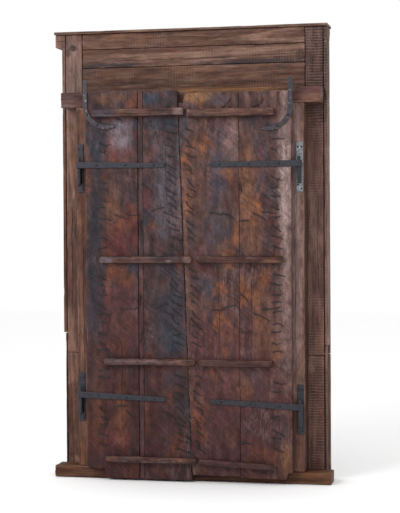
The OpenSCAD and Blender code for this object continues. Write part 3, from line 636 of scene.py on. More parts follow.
rightUprightWood = woodMaterial("rightUprightWood", {
    "dark": (0.076, 0.035, 0.028), "mid": (0.152, 0.078, 0.064), "light": (0.220, 0.130, 0.106),
    "stains": [((0.046, 0.024, 0.022), 5, 0.56, 0.6), ((0.160, 0.074, 0.044), 7, 0.57, 0.45)],
    "zones": [((0.032, 0.016, 0.013), 0.620, 2.080, 0.110, 0.30, 0.4, 0.95),
              ((0.078, 0.031, 0.022), 0.620, 0.280, 0.120, 0.30, 0.08, 0.80),
              ((0.030, 0.012, 0.010), 0.682, 0.280, 0.010, 0.30, 0.1, 0.85),
              ((0.140, 0.085, 0.060), 0.640, 0.600, 0.030, 0.020, 0.5, 0.55)],
    "saw": 0.75, "sawPitch": 0.014, "sawShare": 0.42, "wear": (0.250, 0.156, 0.126), "wearSpread": 0.15})
headWood = woodMaterial("headWood", {
    "grain": 0, "dark": (0.054, 0.021, 0.014), "mid": (0.112, 0.055, 0.038), "light": (0.192, 0.108, 0.078),
    "stains": [((0.040, 0.025, 0.024), 5, 0.55, 0.65), ((0.170, 0.078, 0.040), 6, 0.55, 0.55)],
    "zones": [((0.026, 0.021, 0.026), -0.440, 2.119, 0.180, 0.013, 0.4, 0.90),   # painted shade: a dark stripe in the groove of each bevel
              ((0.026, 0.021, 0.026), 0.320, 2.117, 0.270, 0.012, 0.4, 0.90),
              ((0.034, 0.018, 0.014), 0.555, 2.145, 0.022, 0.028, 0.3, 0.85),    # knot
              ((0.040, 0.018, 0.012), 0.000, 2.020, 0.600, 0.010, 0.5, 0.60),
              ((0.150, 0.068, 0.028), 0.180, 1.975, 0.330, 0.020, 0.5, 0.60)],
    "saw": 0.55, "sawAlong": 0, "sawPitch": 0.014, "sawShare": 0.18, "wear": (0.24, 0.165, 0.135),
    "wearSpread": 0.2})
hiddenLook = {
    "dark": (0.060, 0.032, 0.024), "mid": (0.130, 0.072, 0.054), "light": (0.20, 0.120, 0.085),
    "stains": [((0.055, 0.036, 0.032), 3, 0.55, 0.6)], "saw": 0.35}
hiddenWood = woodMaterial("hiddenWood", hiddenLook)
hiddenHeadWood = woodMaterial("hiddenHeadWood", {**hiddenLook, "grain": 0, "sawAlong": 0})

timberLook = {"step": (0.009, 0.013), "rounding": 0.005, "dish": 0.002, "wander": 0.003, "chip": 0.006,
              "wearWidth": 0.018}
timberCrack = (0.05, 0.6, 0.002, 0.004)
jambLooks = {"left_jamb": [(0.034, 0.15, 1.2, 0.002, 0.004), (0.062, 0.9, 1.75, 0.002, 0.003)],
             "right_jamb": [(0.040, 0.5, 1.5, 0.002, 0.003)]}


def buildTimbers():
    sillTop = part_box("sill")[1].z
    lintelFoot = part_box("lintel")[0].z
    for seed, node in enumerate(("left_jamb", "right_jamb")):
        low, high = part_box(node)
        look = {**timberLook, "cracks": jambLooks[node], "ragged": 0}
        foot, head = (low.x, low.y, sillTop), (high.x, high.y, lintelFoot)
        jamb = wornBoard(node + "_wood", foot, head, 2, look, 11 + seed)
        finishPiece(jamb, node, "frame", frameWood)
    for seed, (node, material) in enumerate((("sill", sillWood), ("lintel", lintelWood))):
        low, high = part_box(node)
        look = {**timberLook, "cracks": [(0.02 + 0.01 * seed, *timberCrack)], "ragged": 0.003}
        timber = wornBoard(node + "_wood", low, high, 0, look, 21 + seed)
        finishPiece(timber, node, "frame", material)


# Grain axis, wood and cracks of each board
facadeLooks = {
    "left_back_board": (2, uprightWood, [(0.052, 1.22, 1.56, 0.002, 0.005),
                                         (0.030, 0.2, 0.8, 0.002, 0.003)]),
    "right_back_board": (2, rightUprightWood, [(0.060, 0.3, 0.9, 0.002, 0.003)]),
    "left_plinth_back_board": (2, uprightWood, []), "right_plinth_back_board": (2, rightUprightWood, []),
    "left_side_board": (2, uprightWood, []), "right_side_board": (2, rightUprightWood, []),
    "left_plinth_side_board": (2, uprightWood, []), "right_plinth_side_board": (2, rightUprightWood, []),
    "left_front_board": (2, hiddenWood, []), "right_front_board": (2, hiddenWood, []),
    "left_plinth_front_board": (2, hiddenWood, []), "right_plinth_front_board": (2, hiddenWood, []),
    "left_reveal_board": (2, hiddenWood, []), "right_reveal_board": (2, hiddenWood, []),
    "lower_head_board": (0, headWood, [(0.040, 0.4, 0.9, 0.002, 0.003)]),
    "middle_head_board": (0, headWood, [(0.035, 0.1, 1.0, 0.002, 0.004)]),
    "top_head_board": (0, headWood, [(0.050, 0.3, 0.7, 0.002, 0.003)]),
    "frieze_board": (0, hiddenHeadWood, []), "soffit_board": (0, hiddenHeadWood, []),
    "left_cornice_block": (0, uprightWood, [(0.036, -0.02, 0.07, 0.002, 0.006)]),
    "right_cornice_block": (0, rightUprightWood, []),
    "cap_board": (0, hiddenHeadWood, [])}


def buildFacade():
    for seed, (node, (grain, material, cracks)) in enumerate(facadeLooks.items()):
        low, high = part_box(node)
        board = wornBoard(node + "_wood", low, high, grain, {"cracks": cracks, "ragged": 0.0008}, 40 + seed)
        finishPiece(board, node, "frame", material)


spreadFrom = 0.6  # share of the cornice's height where its full depth starts


# The cornice's front is splayed below its upper part
def buildCornice():
    low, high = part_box("cornice")
    splayTop = low.z + spreadFrom * (high.z - low.z)
    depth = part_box("frieze_board")[1].y - low.y
    board = wornBoard("cornice_wood", low, high, 0, {"rounding": 0.003}, 70)
    points = getPoints(board.data)
    share = np.clip((points[:, 2] - low.z) / (splayTop - low.z), 0, 1)
    allowed = depth + (high.y - low.y - depth) * share
    points[:, 1] = low.y + (points[:, 1] - low.y) * allowed / (high.y - low.y)
    setPoints(board.data, points)
    finishPiece(board, "cornice", "frame", hiddenHeadWood)


buildTimbers()
buildFacade()
buildCornice()
print("frame and facade ready")

leafFinish = {"saw": 0.0, "roughness": (0.42, 0.72), "patchStretch": 0.6, "contrast": (0.2, 0.75),
              "mottle": 0.35, "scuffAmount": 0.28, "dent": 0.9, "stretch": 0.16, "stainEdge": 0.17,
              "fibre": (0.84, 1.12), "brushed": 0.24}
leftLeafWood = woodMaterial("leftLeafWood", {
    **leafFinish,
    "dark": (0.023, 0.012, 0.013), "mid": (0.045, 0.020, 0.021), "light": (0.070, 0.036, 0.037),
    "stains": [((0.020, 0.025, 0.036), 7, 0.49, 0.85), ((0.112, 0.034, 0.016), 9, 0.515, 0.90),
               ((0.068, 0.014, 0.013), 6, 0.53, 0.75), ((0.100, 0.078, 0.090), 20, 0.62, 0.45)],
    "zones": [
        ((0.013, 0.014, 0.021), -0.470, 1.200, 0.042, 0.66, 0.5, 0.92),    # dark column by the hinge edge
        ((0.018, 0.020, 0.030), -0.230, 1.800, 0.260, 0.030, 0.5, 0.85),   # painted shadow under the top batten
        ((0.150, 0.118, 0.140), -0.340, 1.745, 0.050, 0.080, 0.6, 0.80),   # lavender bloom
        ((0.100, 0.030, 0.028), -0.345, 1.640, 0.070, 0.045, 0.5, 0.70),   # red under it
        ((0.105, 0.045, 0.024), -0.400, 1.935, 0.080, 0.025, 0.5, 0.75),   # rust red at the head
        ((0.020, 0.026, 0.042), -0.175, 1.928, 0.056, 0.026, 0.3, 0.90),   # blue-grey patch at the head
        ((0.080, 0.066, 0.080), -0.110, 1.480, 0.060, 0.20, 0.6, 0.60),    # violet-grey inner half
        ((0.022, 0.028, 0.038), -0.085, 0.840, 0.080, 0.22, 0.6, 0.70),    # dark teal by the meeting edge
        ((0.105, 0.072, 0.078), -0.040, 1.560, 0.012, 0.30, 0.6, 0.70),    # painted highlight: a pale sheen along the meeting edge
        ((0.085, 0.026, 0.024), -0.340, 0.900, 0.085, 0.13, 0.7, 0.60),    # reddish middle
        ((0.125, 0.052, 0.026), -0.345, 0.790, 0.050, 0.06, 0.6, 0.60),    # orange rub
        ((0.044, 0.013, 0.013), -0.380, 0.620, 0.160, 0.30, 0.6, 0.80),
        ((0.034, 0.008, 0.007), -0.330, 0.240, 0.290, 0.36, 0.4, 0.90),    # dark red foot
        ((0.095, 0.024, 0.020), -0.355, 0.210, 0.070, 0.06, 0.6, 0.60),
        ((0.120, 0.044, 0.020), -0.345, 0.350, 0.034, 0.14, 0.7, 0.60),
        ((0.105, 0.038, 0.020), -0.470, 0.400, 0.028, 0.26, 0.7, 0.50),
        ((0.115, 0.046, 0.024), -0.400, 1.380, 0.045, 0.12, 0.7, 0.55),
        ((0.090, 0.042, 0.028), -0.527, 1.450, 0.005, 0.50, 0.4, 0.70),    # bare outer edge
        ((0.062, 0.022, 0.018), -0.526, 0.600, 0.006, 0.45, 0.4, 0.70)],
    "wear": (0.13, 0.088, 0.090), "wearSpread": 0.18, "scuff": (0.16, 0.125, 0.14)})
seamWood = woodMaterial("seamWood", {
    "dark": (0.029, 0.016, 0.017), "mid": (0.058, 0.031, 0.032), "light": (0.088, 0.052, 0.053),
    "stains": [((0.024, 0.024, 0.033), 6, 0.50, 0.75), ((0.098, 0.034, 0.022), 8, 0.55, 0.65)],
    "zones": [((0.110, 0.040, 0.026), -0.240, 1.90, 0.03, 0.08, 0.4, 0.7),
              ((0.060, 0.017, 0.016), -0.240, 0.50, 0.03, 0.60, 0.5, 0.6)],
    "wear": (0.10, 0.055, 0.050), "wearSpread": 0.1, "saw": 0.0, "mottle": 0.35, "stretch": 0.16,
    "stainEdge": 0.22, "fibre": (0.84, 1.12), "brushed": 0.18})
rightLeafWood = woodMaterial("rightLeafWood", {
    **leafFinish,
    "dark": (0.034, 0.014, 0.014), "mid": (0.069, 0.029, 0.026), "light": (0.112, 0.056, 0.046),
    "stains": [((0.036, 0.031, 0.041), 7, 0.50, 0.80), ((0.165, 0.056, 0.020), 8, 0.510, 0.90),
               ((0.074, 0.017, 0.017), 6, 0.54, 0.75), ((0.185, 0.130, 0.122), 22, 0.62, 0.50)],
    "zones": [
        ((0.080, 0.034, 0.021), 0.050, 1.450, 0.040, 0.26, 0.6, 0.75),     # orange by the meeting edge
        ((0.165, 0.080, 0.034), 0.050, 1.930, 0.110, 0.026, 0.5, 0.85),    # orange head
        ((0.046, 0.042, 0.056), 0.160, 1.915, 0.050, 0.03, 0.4, 0.6),
        ((0.040, 0.036, 0.056), 0.155, 1.560, 0.040, 0.18, 0.6, 0.75),     # grey-violet
        ((0.150, 0.110, 0.115), 0.222, 1.690, 0.035, 0.10, 0.6, 0.60),     # scratched
        ((0.135, 0.056, 0.028), 0.310, 1.500, 0.038, 0.22, 0.6, 0.75),     # orange-brown streak
        ((0.125, 0.050, 0.026), 0.330, 1.230, 0.060, 0.10, 0.6, 0.65),
        ((0.044, 0.038, 0.048), 0.150, 1.250, 0.060, 0.13, 0.6, 0.70),
        ((0.290, 0.200, 0.185), 0.500, 1.500, 0.030, 0.42, 0.6, 0.85),     # pale pink outer edge
        ((0.180, 0.108, 0.096), 0.494, 0.850, 0.032, 0.34, 0.7, 0.70),
        ((0.130, 0.054, 0.028), 0.375, 0.760, 0.050, 0.18, 0.6, 0.65),
        ((0.072, 0.022, 0.023), 0.200, 0.560, 0.240, 0.26, 0.6, 0.65),     # violet-red low down
        ((0.110, 0.046, 0.024), 0.270, 0.480, 0.050, 0.07, 0.6, 0.55),
        ((0.044, 0.013, 0.014), 0.220, 0.200, 0.330, 0.22, 0.4, 0.85),
        ((0.130, 0.056, 0.026), 0.500, 0.130, 0.030, 0.08, 0.5, 0.75),     # orange foot corner
        ((0.120, 0.055, 0.042), -0.012, 0.920, 0.016, 0.60, 0.5, 0.70)],
    "wear": (0.19, 0.115, 0.100), "wearSpread": 0.22, "scuff": (0.23, 0.175, 0.165)})
framingFinish = {
    "dark": (0.040, 0.019, 0.014), "mid": (0.085, 0.043, 0.031), "light": (0.140, 0.078, 0.054),
    "stains": [((0.034, 0.022, 0.022), 4, 0.55, 0.6)], "saw": 0.1}
framingWood = woodMaterial("framingWood", framingFinish)
railWood = woodMaterial("railWood", {**framingFinish, "grain": 0, "sawAlong": 0})
battenWood = woodMaterial("battenWood", {
    "grain": 0, "dark": (0.022, 0.007, 0.006), "mid": (0.052, 0.018, 0.014), "light": (0.098, 0.044, 0.034),
    "stains": [((0.032, 0.020, 0.025), 11, 0.53, 0.70), ((0.128, 0.050, 0.023), 9, 0.56, 0.60)],
    "zones": [
        ((0.125, 0.056, 0.042), 0.230, 1.860, 0.230, 0.030, 0.4, 0.65),
        ((0.042, 0.034, 0.046), -0.420, 1.858, 0.055, 0.05, 0.5, 0.90),    # hammered lump
        ((0.185, 0.115, 0.105), -0.020, 1.862, 0.035, 0.03, 0.5, 0.70),
        ((0.125, 0.090, 0.105), -0.420, 1.120, 0.040, 0.04, 0.5, 0.70),    # lilac end
        ((0.150, 0.090, 0.080), 0.010, 1.120, 0.025, 0.04, 0.5, 0.70),
        ((0.130, 0.080, 0.078), -0.250, 0.606, 0.200, 0.012, 0.6, 0.60),
        ((0.052, 0.020, 0.018), 0.250, 0.603, 0.210, 0.04, 0.3, 0.75),
        ((0.042, 0.018, 0.018), 0.250, 0.100, 0.220, 0.06, 0.3, 0.80)],
    "wear": (0.19, 0.110, 0.090), "wearSpread": 0.20, "saw": 0.0, "roughness": (0.32, 0.58),
    "stretch": 0.14, "patchStretch": 0.5, "mottle": 0.35, "dent": 0.7, "scuffAmount": 0.5,
    "scuff": (0.24, 0.165, 0.15)})

plankLook = {"step": (0.008, 0.011), "rounding": 0.0028, "dish": 0.0018, "wander": 0.0010,
             "ridge": 0.0004, "chip": 0.005, "ragged": 0.003, "wearWidth": 0.014}
plankCracks = {
    "left_outer_plank": [(0.185, 0.25, 0.75, 0.002, 0.003)],
    "left_inner_plank": [(0.150, 1.35, 1.75, 0.002, 0.003)],
    "left_seam_strip": [],
    "right_inner_plank": [(0.190, 0.5, 1.1, 0.002, 0.003)],
    "right_outer_plank": [(0.060, 0.5, 1.2, 0.002, 0.003)]}


# Farthest point along X of a node's corners at its foot or its head
def cornerX(node, side, head):
    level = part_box(node)[1 if head else 0].z
    found = [v.co.x for v in frame["nodes"][node].data.vertices if abs(v.co.z - level) < mm]
    return side * max(side * x for x in found)


# Slants the edge on one side of a plank, from its place at the foot to its place at the head
def slantEdge(points, low, high, side, footX, headX):
    rise = (points[:, 2] - low.z) / (high.z - low.z)
    target = footX + (headX - footX) * rise
    fixed, moving = (low.x, high.x) if side > 0 else (high.x, low.x)
    share = (points[:, 0] - fixed) / (moving - fixed)
    points[:, 0] = fixed + share * (target - fixed)


# Reach is how far along the plank the points give way; a jag is (depth, length)
breakLook = {"reach": 0.22, "slope": 0.012, "fineJag": (0.006, 0.012), "coarseJag": (0.004, 0.035)}


# Breaks a corner away: the plank's end is pulled back within width of the edge at edgeX
def breakCorner(points, level, edgeX, width, height, seed):
    inside = np.abs(points[:, 0] - edgeX)
    fineDepth, fineLength = breakLook["fineJag"]
    coarseDepth, coarseLength = breakLook["coarseJag"]
    jag = fineDepth * noiseAt(points, fineLength, seed)
    jag += coarseDepth * noiseAt(points, coarseLength, seed + 1)
    cut = (height + jag) * (1 - smoothStep(width - breakLook["slope"], width, inside))
    share = np.clip(1 - np.abs(points[:, 2] - level) / breakLook["reach"], 0, 1)
    direction = 1 if points[:, 2].mean() > level else -1
    points[:, 2] += direction * np.maximum(cut, 0) * share


# End, side, width and height of what is broken away
brokenCorners = {
    "left_outer_plank": [("foot", -1, 0.104, 0.048)],
    "right_outer_plank": [("foot", 1, 0.032, 0.035)],
    "left_inner_plank": [("head", 1, 0.014, 0.012)],
    "right_inner_plank": [("head", -1, 0.036, 0.050)]}
slantedEdges = {"left_inner_plank": 1, "right_inner_plank": -1}


def buildPlanks():
    for seed, (node, cracks) in enumerate(plankCracks.items()):
        low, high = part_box(node)
        plank = wornBoard(node + "_wood", low, high, 2, {**plankLook, "cracks": cracks}, 80 + seed)
        points = getPoints(plank.data)
        for end, side, width, height in brokenCorners.get(node, []):
            level = high.z if end == "head" else low.z
            edgeX = high.x if side > 0 else low.x
            breakCorner(points, level, edgeX, width, height, 90 + seed)
        if node in slantedEdges:
            side = slantedEdges[node]
            slantEdge(points, low, high, side, cornerX(node, side, False), cornerX(node, side, True))
        setPoints(plank.data, points)
        body = "left_leaf" if node.startswith("left") else "right_leaf"
        material = leftLeafWood if body == "left_leaf" else rightLeafWood
        if node == "left_seam_strip":
            material = seamWood
        finishPiece(plank, node, body, material)


# Loose solids of a node, each as an array of its points
def looseSolids(node):
    mesh = frame["nodes"][node].data
    keys, index = np.unique(np.round(getPoints(mesh), 6), axis=0, return_inverse=True)
    index = index.reshape(-1)
    owner = list(range(len(keys)))

    def root(i):
        while owner[i] != i:
            owner[i] = owner[owner[i]]
            i = owner[i]
        return i
    for polygon in mesh.polygons:
        corners = [index[v] for v in polygon.vertices]
        for corner in corners[1:]:
            owner[root(corner)] = root(corners[0])
    groups = {}
    for i in range(len(keys)):
        groups.setdefault(root(i), []).append(i)
    return [keys[members] for _, members in sorted(groups.items())]


framingLook = {"step": (0.012, 0.024), "rounding": 0.003, "dish": 0.0008, "wander": 0.001, "chip": 0.003,
               "ragged": 0.0005}


# Each stile or rail is a worn board of its own; slanted ends follow the solid's own corners
def buildFraming():
    for side, body in ((-1, "left_leaf"), (1, "right_leaf")):
        for kind, grain, material in (("stiles", 2, framingWood), ("rails", 0, railWood)):
            node = f"{body.split('_')[0]}_front_{kind}"
            boards = []
            for i, corners in enumerate(looseSolids(node)):
                low, high = Vector(corners.min(axis=0)), Vector(corners.max(axis=0))
                board = wornBoard(f"{node}_{i}", low, high, grain, framingLook, 120 + 7 * i + side)
                points = getPoints(board.data)
                foot = corners[corners[:, 2] < low.z + mm]
                head = corners[corners[:, 2] > high.z - mm]
                rise = (points[:, 2] - low.z) / (high.z - low.z)
                start = foot[:, 0].min() + (head[:, 0].min() - foot[:, 0].min()) * rise
                end = foot[:, 0].max() + (head[:, 0].max() - foot[:, 0].max()) * rise
                share = (points[:, 0] - low.x) / (high.x - low.x)
                points[:, 0] = start + share * (end - start)
                setPoints(board.data, points)
                boards.append(board)
            framing = joinAll(boards, node + "_wood")
            finishPiece(framing, node, body, material)


# Rounding, chip depth and seed of each batten
battenLooks = {
    "left_batten_1": (0.010, 0.010, 3), "left_batten_2": (0.013, 0.006, 4),
    "left_batten_3": (0.011, 0.011, 5), "left_batten_4": (0.007, 0.007, 6),
    "right_batten_1": (0.007, 0.007, 7), "right_batten_2": (0.010, 0.008, 8),
    "right_batten_3": (0.009, 0.011, 9), "right_batten_4": (0.010, 0.011, 10)}


battenLook = {"step": (0.005, 0.008), "dish": 0.005, "wander": 0.004, "ridge": 0.0010, "ragged": 0.005,
              "wearWidth": 0.018}
battenCrack = (0.05, 0.30, 0.0015, 0.004)
underShade = {"low": 0.003, "high": 0.012, "amount": 0.55}  # painted shade: a dark strip along the batten's foot, where its underside turns from the light


def buildBattens():
    for node, (rounding, chip, seed) in battenLooks.items():
        corners = getPoints(frame["nodes"][node].data)
        low, high = corners.min(axis=0), corners.max(axis=0)
        leftEnd = corners[corners[:, 0] < low[0] + 4 * mm]
        rightEnd = corners[corners[:, 0] > high[0] - 4 * mm]
        leftMiddle, rightMiddle = leftEnd[:, 2].mean(), rightEnd[:, 2].mean()
        slope = (rightMiddle - leftMiddle) / (high[0] - low[0])
        height = (high[2] - low[2]) - abs(rightMiddle - leftMiddle)
        middle = (leftMiddle + rightMiddle) / 2
        flatLow = (low[0], low[1], middle - height / 2)
        flatHigh = (high[0], high[1], middle + height / 2)
        look = {**battenLook, "rounding": rounding, "chip": 1.3 * chip,
                "cracks": [(0.4 * height, *battenCrack)]}
        batten = wornBoard(node + "_wood", flatLow, flatHigh, 0, look, 140 + seed)
        points = getPoints(batten.data)
        above = points[:, 2] - flatLow[2]
        under = 1 - smoothStep(underShade["low"], underShade["high"], above)
        # on a batten the crack mask holds only this painted shade, drawn in the crack colour
        setMask(batten.data, "crack", underShade["amount"] * under)
        points[:, 2] += slope * (points[:, 0] - (low[0] + high[0]) / 2)
        setPoints(batten.data, points)
        body = "left_leaf" if node.startswith("left") else "right_leaf"
        finishPiece(batten, node, body, battenWood)


buildPlanks()
buildFraming()
buildBattens()
print("leaves ready")


blueIron = ironMaterial("blueIron", {})
cornerIronFinish = ironMaterial("cornerIronFinish", {
    "dark": (0.018, 0.015, 0.021), "mid": (0.044, 0.035, 0.043), "pale": (0.20, 0.175, 0.20),
    "paleFrom": 0.57, "rustFrom": 0.55})
palePlateIron = ironMaterial("palePlateIron", {
    "dark": (0.10, 0.11, 0.125), "mid": (0.20, 0.21, 0.23), "pale": (0.36, 0.37, 0.38), "paleFrom": 0.54,
    "rustFrom": 0.70, "frontFrom": -0.0665})
# nearly black nails whose pale flecks are painted glints
nailIron = ironMaterial("nailIron", {
    "dark": (0.004, 0.004, 0.005), "mid": (0.012, 0.010, 0.012), "pale": (0.22, 0.20, 0.21),
    "paleFrom": 0.62, "roughness": (0.28, 0.5), "scale": 1.4})

# Remesh size and hammer depth in mm
ironLooks = {
    "upper_pintle": (1.7, 0.5), "lower_pintle": (1.7, 0.5), "upper_strap": (2.0, 0.4),
    "lower_strap": (2.0, 0.4), "corner_iron": (2.2, 1.6)}


# A copy of a CAD solid, merged, remeshed fine and hammered
def forgedCopy(node, pitch, dent, seed):
    source = frame["nodes"][node]
    copy = bpy.data.objects.new(node + "_iron", source.data.copy())
    bpy.context.scene.collection.objects.link(copy)
    makeActive(copy)
    editMode()
    bpy.ops.mesh.select_all(action="SELECT")
    bpy.ops.mesh.remove_doubles(threshold=0.00001)
    editMode(False)
    applyModifier(copy, "REMESH", mode="VOXEL", voxel_size=pitch * mm)
    applyModifier(copy, "SMOOTH", factor=0.5, iterations=2)
    mesh = copy.data
    points = getPoints(mesh)
    normals = np.empty(len(points) * 3)
    mesh.vertices.foreach_get("normal", normals)
    normals = normals.reshape(-1, 3)
    depth = 0.6 * (1 + noiseAt(points, 0.016, seed)) + 0.4 * (1 + noiseAt(points, 0.007, seed + 1))
    points -= normals * (0.5 * dent * mm * depth)[:, None]
    setPoints(mesh, points)
    return copy


pinLook = {"pin": 0.0077, "bore": 0.0084, "boreReach": 0.0108, "eyeRadius": 0.0156, "seat": 0.0004}


# Keeps a worn pin and the eye that turns on it clear of each other
def clearPin(iron, side, kind):
    joint = next(j for j in frame["record"]["behaviour"]["joints"] if j["name"] == side + "_leaf_hinge")
    axis = np.array(joint["pos_m"][:2])
    strap = getPoints(frame["nodes"][f"{side}_{kind.split('_')[0]}_strap"].data)
    eye = strap[np.hypot(*(strap[:, :2] - axis).T) < pinLook["eyeRadius"]]
    low, high = eye[:, 2].min(), eye[:, 2].max()
    points = getPoints(iron.data)
    away = points[:, :2] - axis
    radius = np.hypot(*away.T)
    if "strap" in kind:
        wanted = np.where(radius < pinLook["boreReach"], np.maximum(radius, pinLook["bore"]), radius)
    else:
        beside = (points[:, 2] > low - mm) & (points[:, 2] < high + mm) & (radius < pinLook["boreReach"])
        wanted = np.where(beside, np.minimum(radius, pinLook["pin"]), radius)
        seat = ~beside & (radius < pinLook["eyeRadius"] + 2 * mm)
        middle = (low + high) / 2
        under = seat & (points[:, 2] < middle)
        over = seat & (points[:, 2] > middle)
        points[under, 2] = np.minimum(points[under, 2], low - pinLook["seat"])
        points[over, 2] = np.maximum(points[over, 2], high + pinLook["seat"])
    points[:, :2] = axis + away * (wanted / np.maximum(radius, 1e-9))[:, None]
    setPoints(iron.data, points)


def buildIrons():
    seed = 200
    for side in ("left", "right"):
        for kind, (pitch, dent) in ironLooks.items():
            node = f"{side}_{kind}"
            seed += 3
            iron = forgedCopy(node, pitch, dent, seed)
            if kind != "corner_iron":
                clearPin(iron, side, kind)
            material = cornerIronFinish if kind == "corner_iron" else blueIron
            if node == "right_upper_pintle":
                material = palePlateIron
            body = "frame" if "pintle" in kind else side + "_leaf"
            finishPiece(iron, node, body, material)


nailLook = {"width": 0.0058, "bend": 0.007, "hook": 0.009, "proud": 0.0042, "legSteps": 6, "tipWidth": 0.45,
            "dip": -0.0002, "tipSink": 0.0026, "headWidth": 0.014, "headTop": 0.35, "thickness": 0.25,
            "bevel": 0.0006}


# Extrudes what is selected, then resizes its end
def extrude(move, resize=None):
    bpy.ops.mesh.extrude_region_move(TRANSFORM_OT_translate={"value": move})
    if resize:
        bpy.ops.transform.resize(value=resize)


# In edit mode, leaves selected only the faces that pass the test
def pickFaces(mesh, test):
    bpy.ops.mesh.select_all(action="DESELECT")
    editMode(False)
    for face in mesh.polygons:
        face.select = test(face)
    editMode()


def turnAboutY(angle):
    return np.array([[math.cos(angle), 0, -math.sin(angle)], [0, 1, 0],
                     [math.sin(angle), 0, math.cos(angle)]])


# A nail along +X on the plank's back at y = 0: its leg lies on the plank, its shank runs to +Y
def addNail(shank, headWidth, headHeight):
    width = nailLook["width"]
    selectNone()
    bpy.ops.mesh.primitive_cube_add(size=width, location=(0, width / 2 - nailLook["proud"], 0))
    nail = bpy.context.object
    bpy.ops.object.transform_apply(location=True)
    editMode()
    bpy.context.tool_settings.mesh_select_mode = (False, False, True)

    def pickFarthest(axis):
        editMode(False)
        best = max(nail.data.polygons, key=lambda f: f.center[axis] + 0.01 * f.normal[axis]).index
        editMode()
        pickFaces(nail.data, lambda face: face.index == best)
    pickFarthest(0)
    steps = nailLook["legSteps"]
    taper = nailLook["tipWidth"] - 1
    for i in range(steps):
        sink = nailLook["dip"] if i < steps - 1 else nailLook["tipSink"]
        shrink = (1 + taper * (i + 1) / steps) / (1 + taper * i / steps)
        extrude(((1 - width / 2) / steps, sink, 0), (1, shrink, shrink))
    pickFarthest(1)
    extrude((0, shank - width + nailLook["proud"], 0))
    extrude((0, 0.0002, 0), (headWidth / width, 1, headWidth / width))
    extrude((0, headHeight * 0.5, 0))
    extrude((0, headHeight * 0.5, 0), (nailLook["headTop"], 1, nailLook["headTop"]))
    editMode(False)
    return nail


# Copies the nail to each solid of the node, stretched to its leg and bent
def buildClenchedNails():
    for side in ("left", "right"):
        node = side + "_clenched_nails"
        body = side + "_leaf"
        draw = random.Random(31 if side == "left" else 57)
        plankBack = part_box(side + "_inner_plank")[0].y
        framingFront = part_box(side + "_front_rails")[1].y
        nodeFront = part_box(node)[1].y
        pattern = addNail(framingFront - plankBack, nailLook["headWidth"], nodeFront - framingFront)
        base = getPoints(pattern.data)
        nails = []
        for corners in looseSolids(node):
            head = corners[corners[:, 1] > nodeFront - mm]
            root = (head.min(axis=0) + head.max(axis=0)) / 2
            leg = corners[corners[:, 1] < plankBack + mm]
            tip = max(leg, key=lambda p: (p[0] - root[0]) ** 2 + (p[2] - root[2]) ** 2)
            length = math.hypot(tip[0] - root[0], tip[2] - root[2])
            angle = math.atan2(tip[2] - root[2], tip[0] - root[0])
            points = base.copy()
            onLeg = points[:, 0] > nailLook["width"]
            share = np.clip(points[:, 0], 0, 1)
            thick = 1 + nailLook["thickness"] * draw.uniform(-1, 1)
            points[:, 0] = np.where(onLeg, points[:, 0] * length, points[:, 0])
            points[:, 2] = np.where(onLeg, points[:, 2] * thick, points[:, 2])
            bow = nailLook["bend"] * draw.uniform(-1, 1)
            hook = nailLook["hook"] * draw.uniform(-1, 1)
            points[:, 2] += bow * np.sin(math.pi * share) + hook * share ** 3
            points = points @ turnAboutY(angle).T + [root[0], plankBack, root[2]]
            mesh = pattern.data.copy()
            nail = bpy.data.objects.new(node, mesh)
            bpy.context.scene.collection.objects.link(nail)
            setPoints(mesh, points)
            nails.append(nail)
        bpy.data.objects.remove(pattern)
        joined = joinAll(nails, node + "_iron")
        applyModifier(joined, "BEVEL", width=nailLook["bevel"], segments=1)
        finishPiece(joined, node, body, nailIron)


roundNailLook = {"shankWidth": 0.005, "pointLength": 0.004, "crown": 0.72, "rim": 0.16, "rise": 0.12,
                 "slotHalf": 0.0007, "slotDepth": 0.0009, "screwHead": 0.002, "nailHead": 0.003}


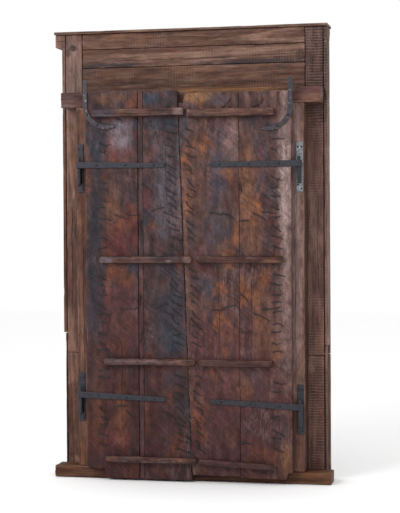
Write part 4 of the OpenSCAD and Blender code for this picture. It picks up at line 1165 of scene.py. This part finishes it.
# Round head on a shank; the slot is cut only in screws
def addRoundNail(headWidth, headHeight, shankLength, slotted):
    selectNone()
    bpy.ops.mesh.primitive_cylinder_add(vertices=16, radius=headWidth / 2, depth=headHeight,
                                        location=(0, -headHeight / 2, 0), rotation=(math.pi / 2, 0, 0))
    head = bpy.context.object
    bpy.ops.object.transform_apply(location=True, rotation=True)
    mesh = head.data
    look = roundNailLook
    half = look["slotHalf"]
    bpy.context.tool_settings.mesh_select_mode = (False, False, True)
    editMode()
    pickFaces(mesh, lambda face: face.normal.y < -0.9)
    bpy.ops.transform.resize(value=(look["crown"], 1, look["crown"]))
    if slotted:
        bpy.ops.mesh.bisect(plane_co=(-half, 0, 0), plane_no=(1, 0, 0))
        pickFaces(mesh, lambda face: face.normal.y < -0.9)
        bpy.ops.mesh.bisect(plane_co=(half, 0, 0), plane_no=(1, 0, 0))
        pickFaces(mesh, lambda face: face.normal.y < -0.9 and abs(face.center.x) < 0.9 * half)
        extrude((0, look["slotDepth"], 0))
    else:
        bpy.ops.mesh.inset(thickness=headWidth * look["rim"])
        bpy.ops.transform.translate(value=(0, -headHeight * look["rise"], 0))
    pickFaces(mesh, lambda face: face.normal.y > 0.9 and abs(face.center.y) < 0.00001)
    bpy.ops.mesh.inset(thickness=(headWidth - look["shankWidth"]) / 2)
    extrude((0, shankLength - look["pointLength"], 0))
    extrude((0, look["pointLength"], 0), (0.2, 1, 0.2))
    editMode(False)
    return head


# Puts a round nail or screw in the place of each solid of the node
def buildRoundNails(node, body, slotted):
    headHeight = roundNailLook["screwHead" if slotted else "nailHead"]
    draw = random.Random(len(node))
    nails = []
    for corners in looseSolids(node):
        low, high = corners.min(axis=0), corners.max(axis=0)
        width = high[0] - low[0]
        pattern = addRoundNail(width, headHeight, high[1] - low[1] - headHeight, slotted)
        middle = (low + high) / 2
        points = getPoints(pattern.data) @ turnAboutY(draw.uniform(0, math.pi)).T
        points += [middle[0], low[1] + headHeight * (1 + roundNailLook["rise"]), middle[2]]
        setPoints(pattern.data, points)
        nails.append(pattern)
    joined = joinAll(nails, node + "_iron")
    finishPiece(joined, node, body, nailIron)


buildIrons()
buildClenchedNails()
buildRoundNails("plate_screws", "frame", True)
for side in ("left", "right"):
    buildRoundNails(side + "_strap_nails", side + "_leaf", False)
print("irons and nails ready")
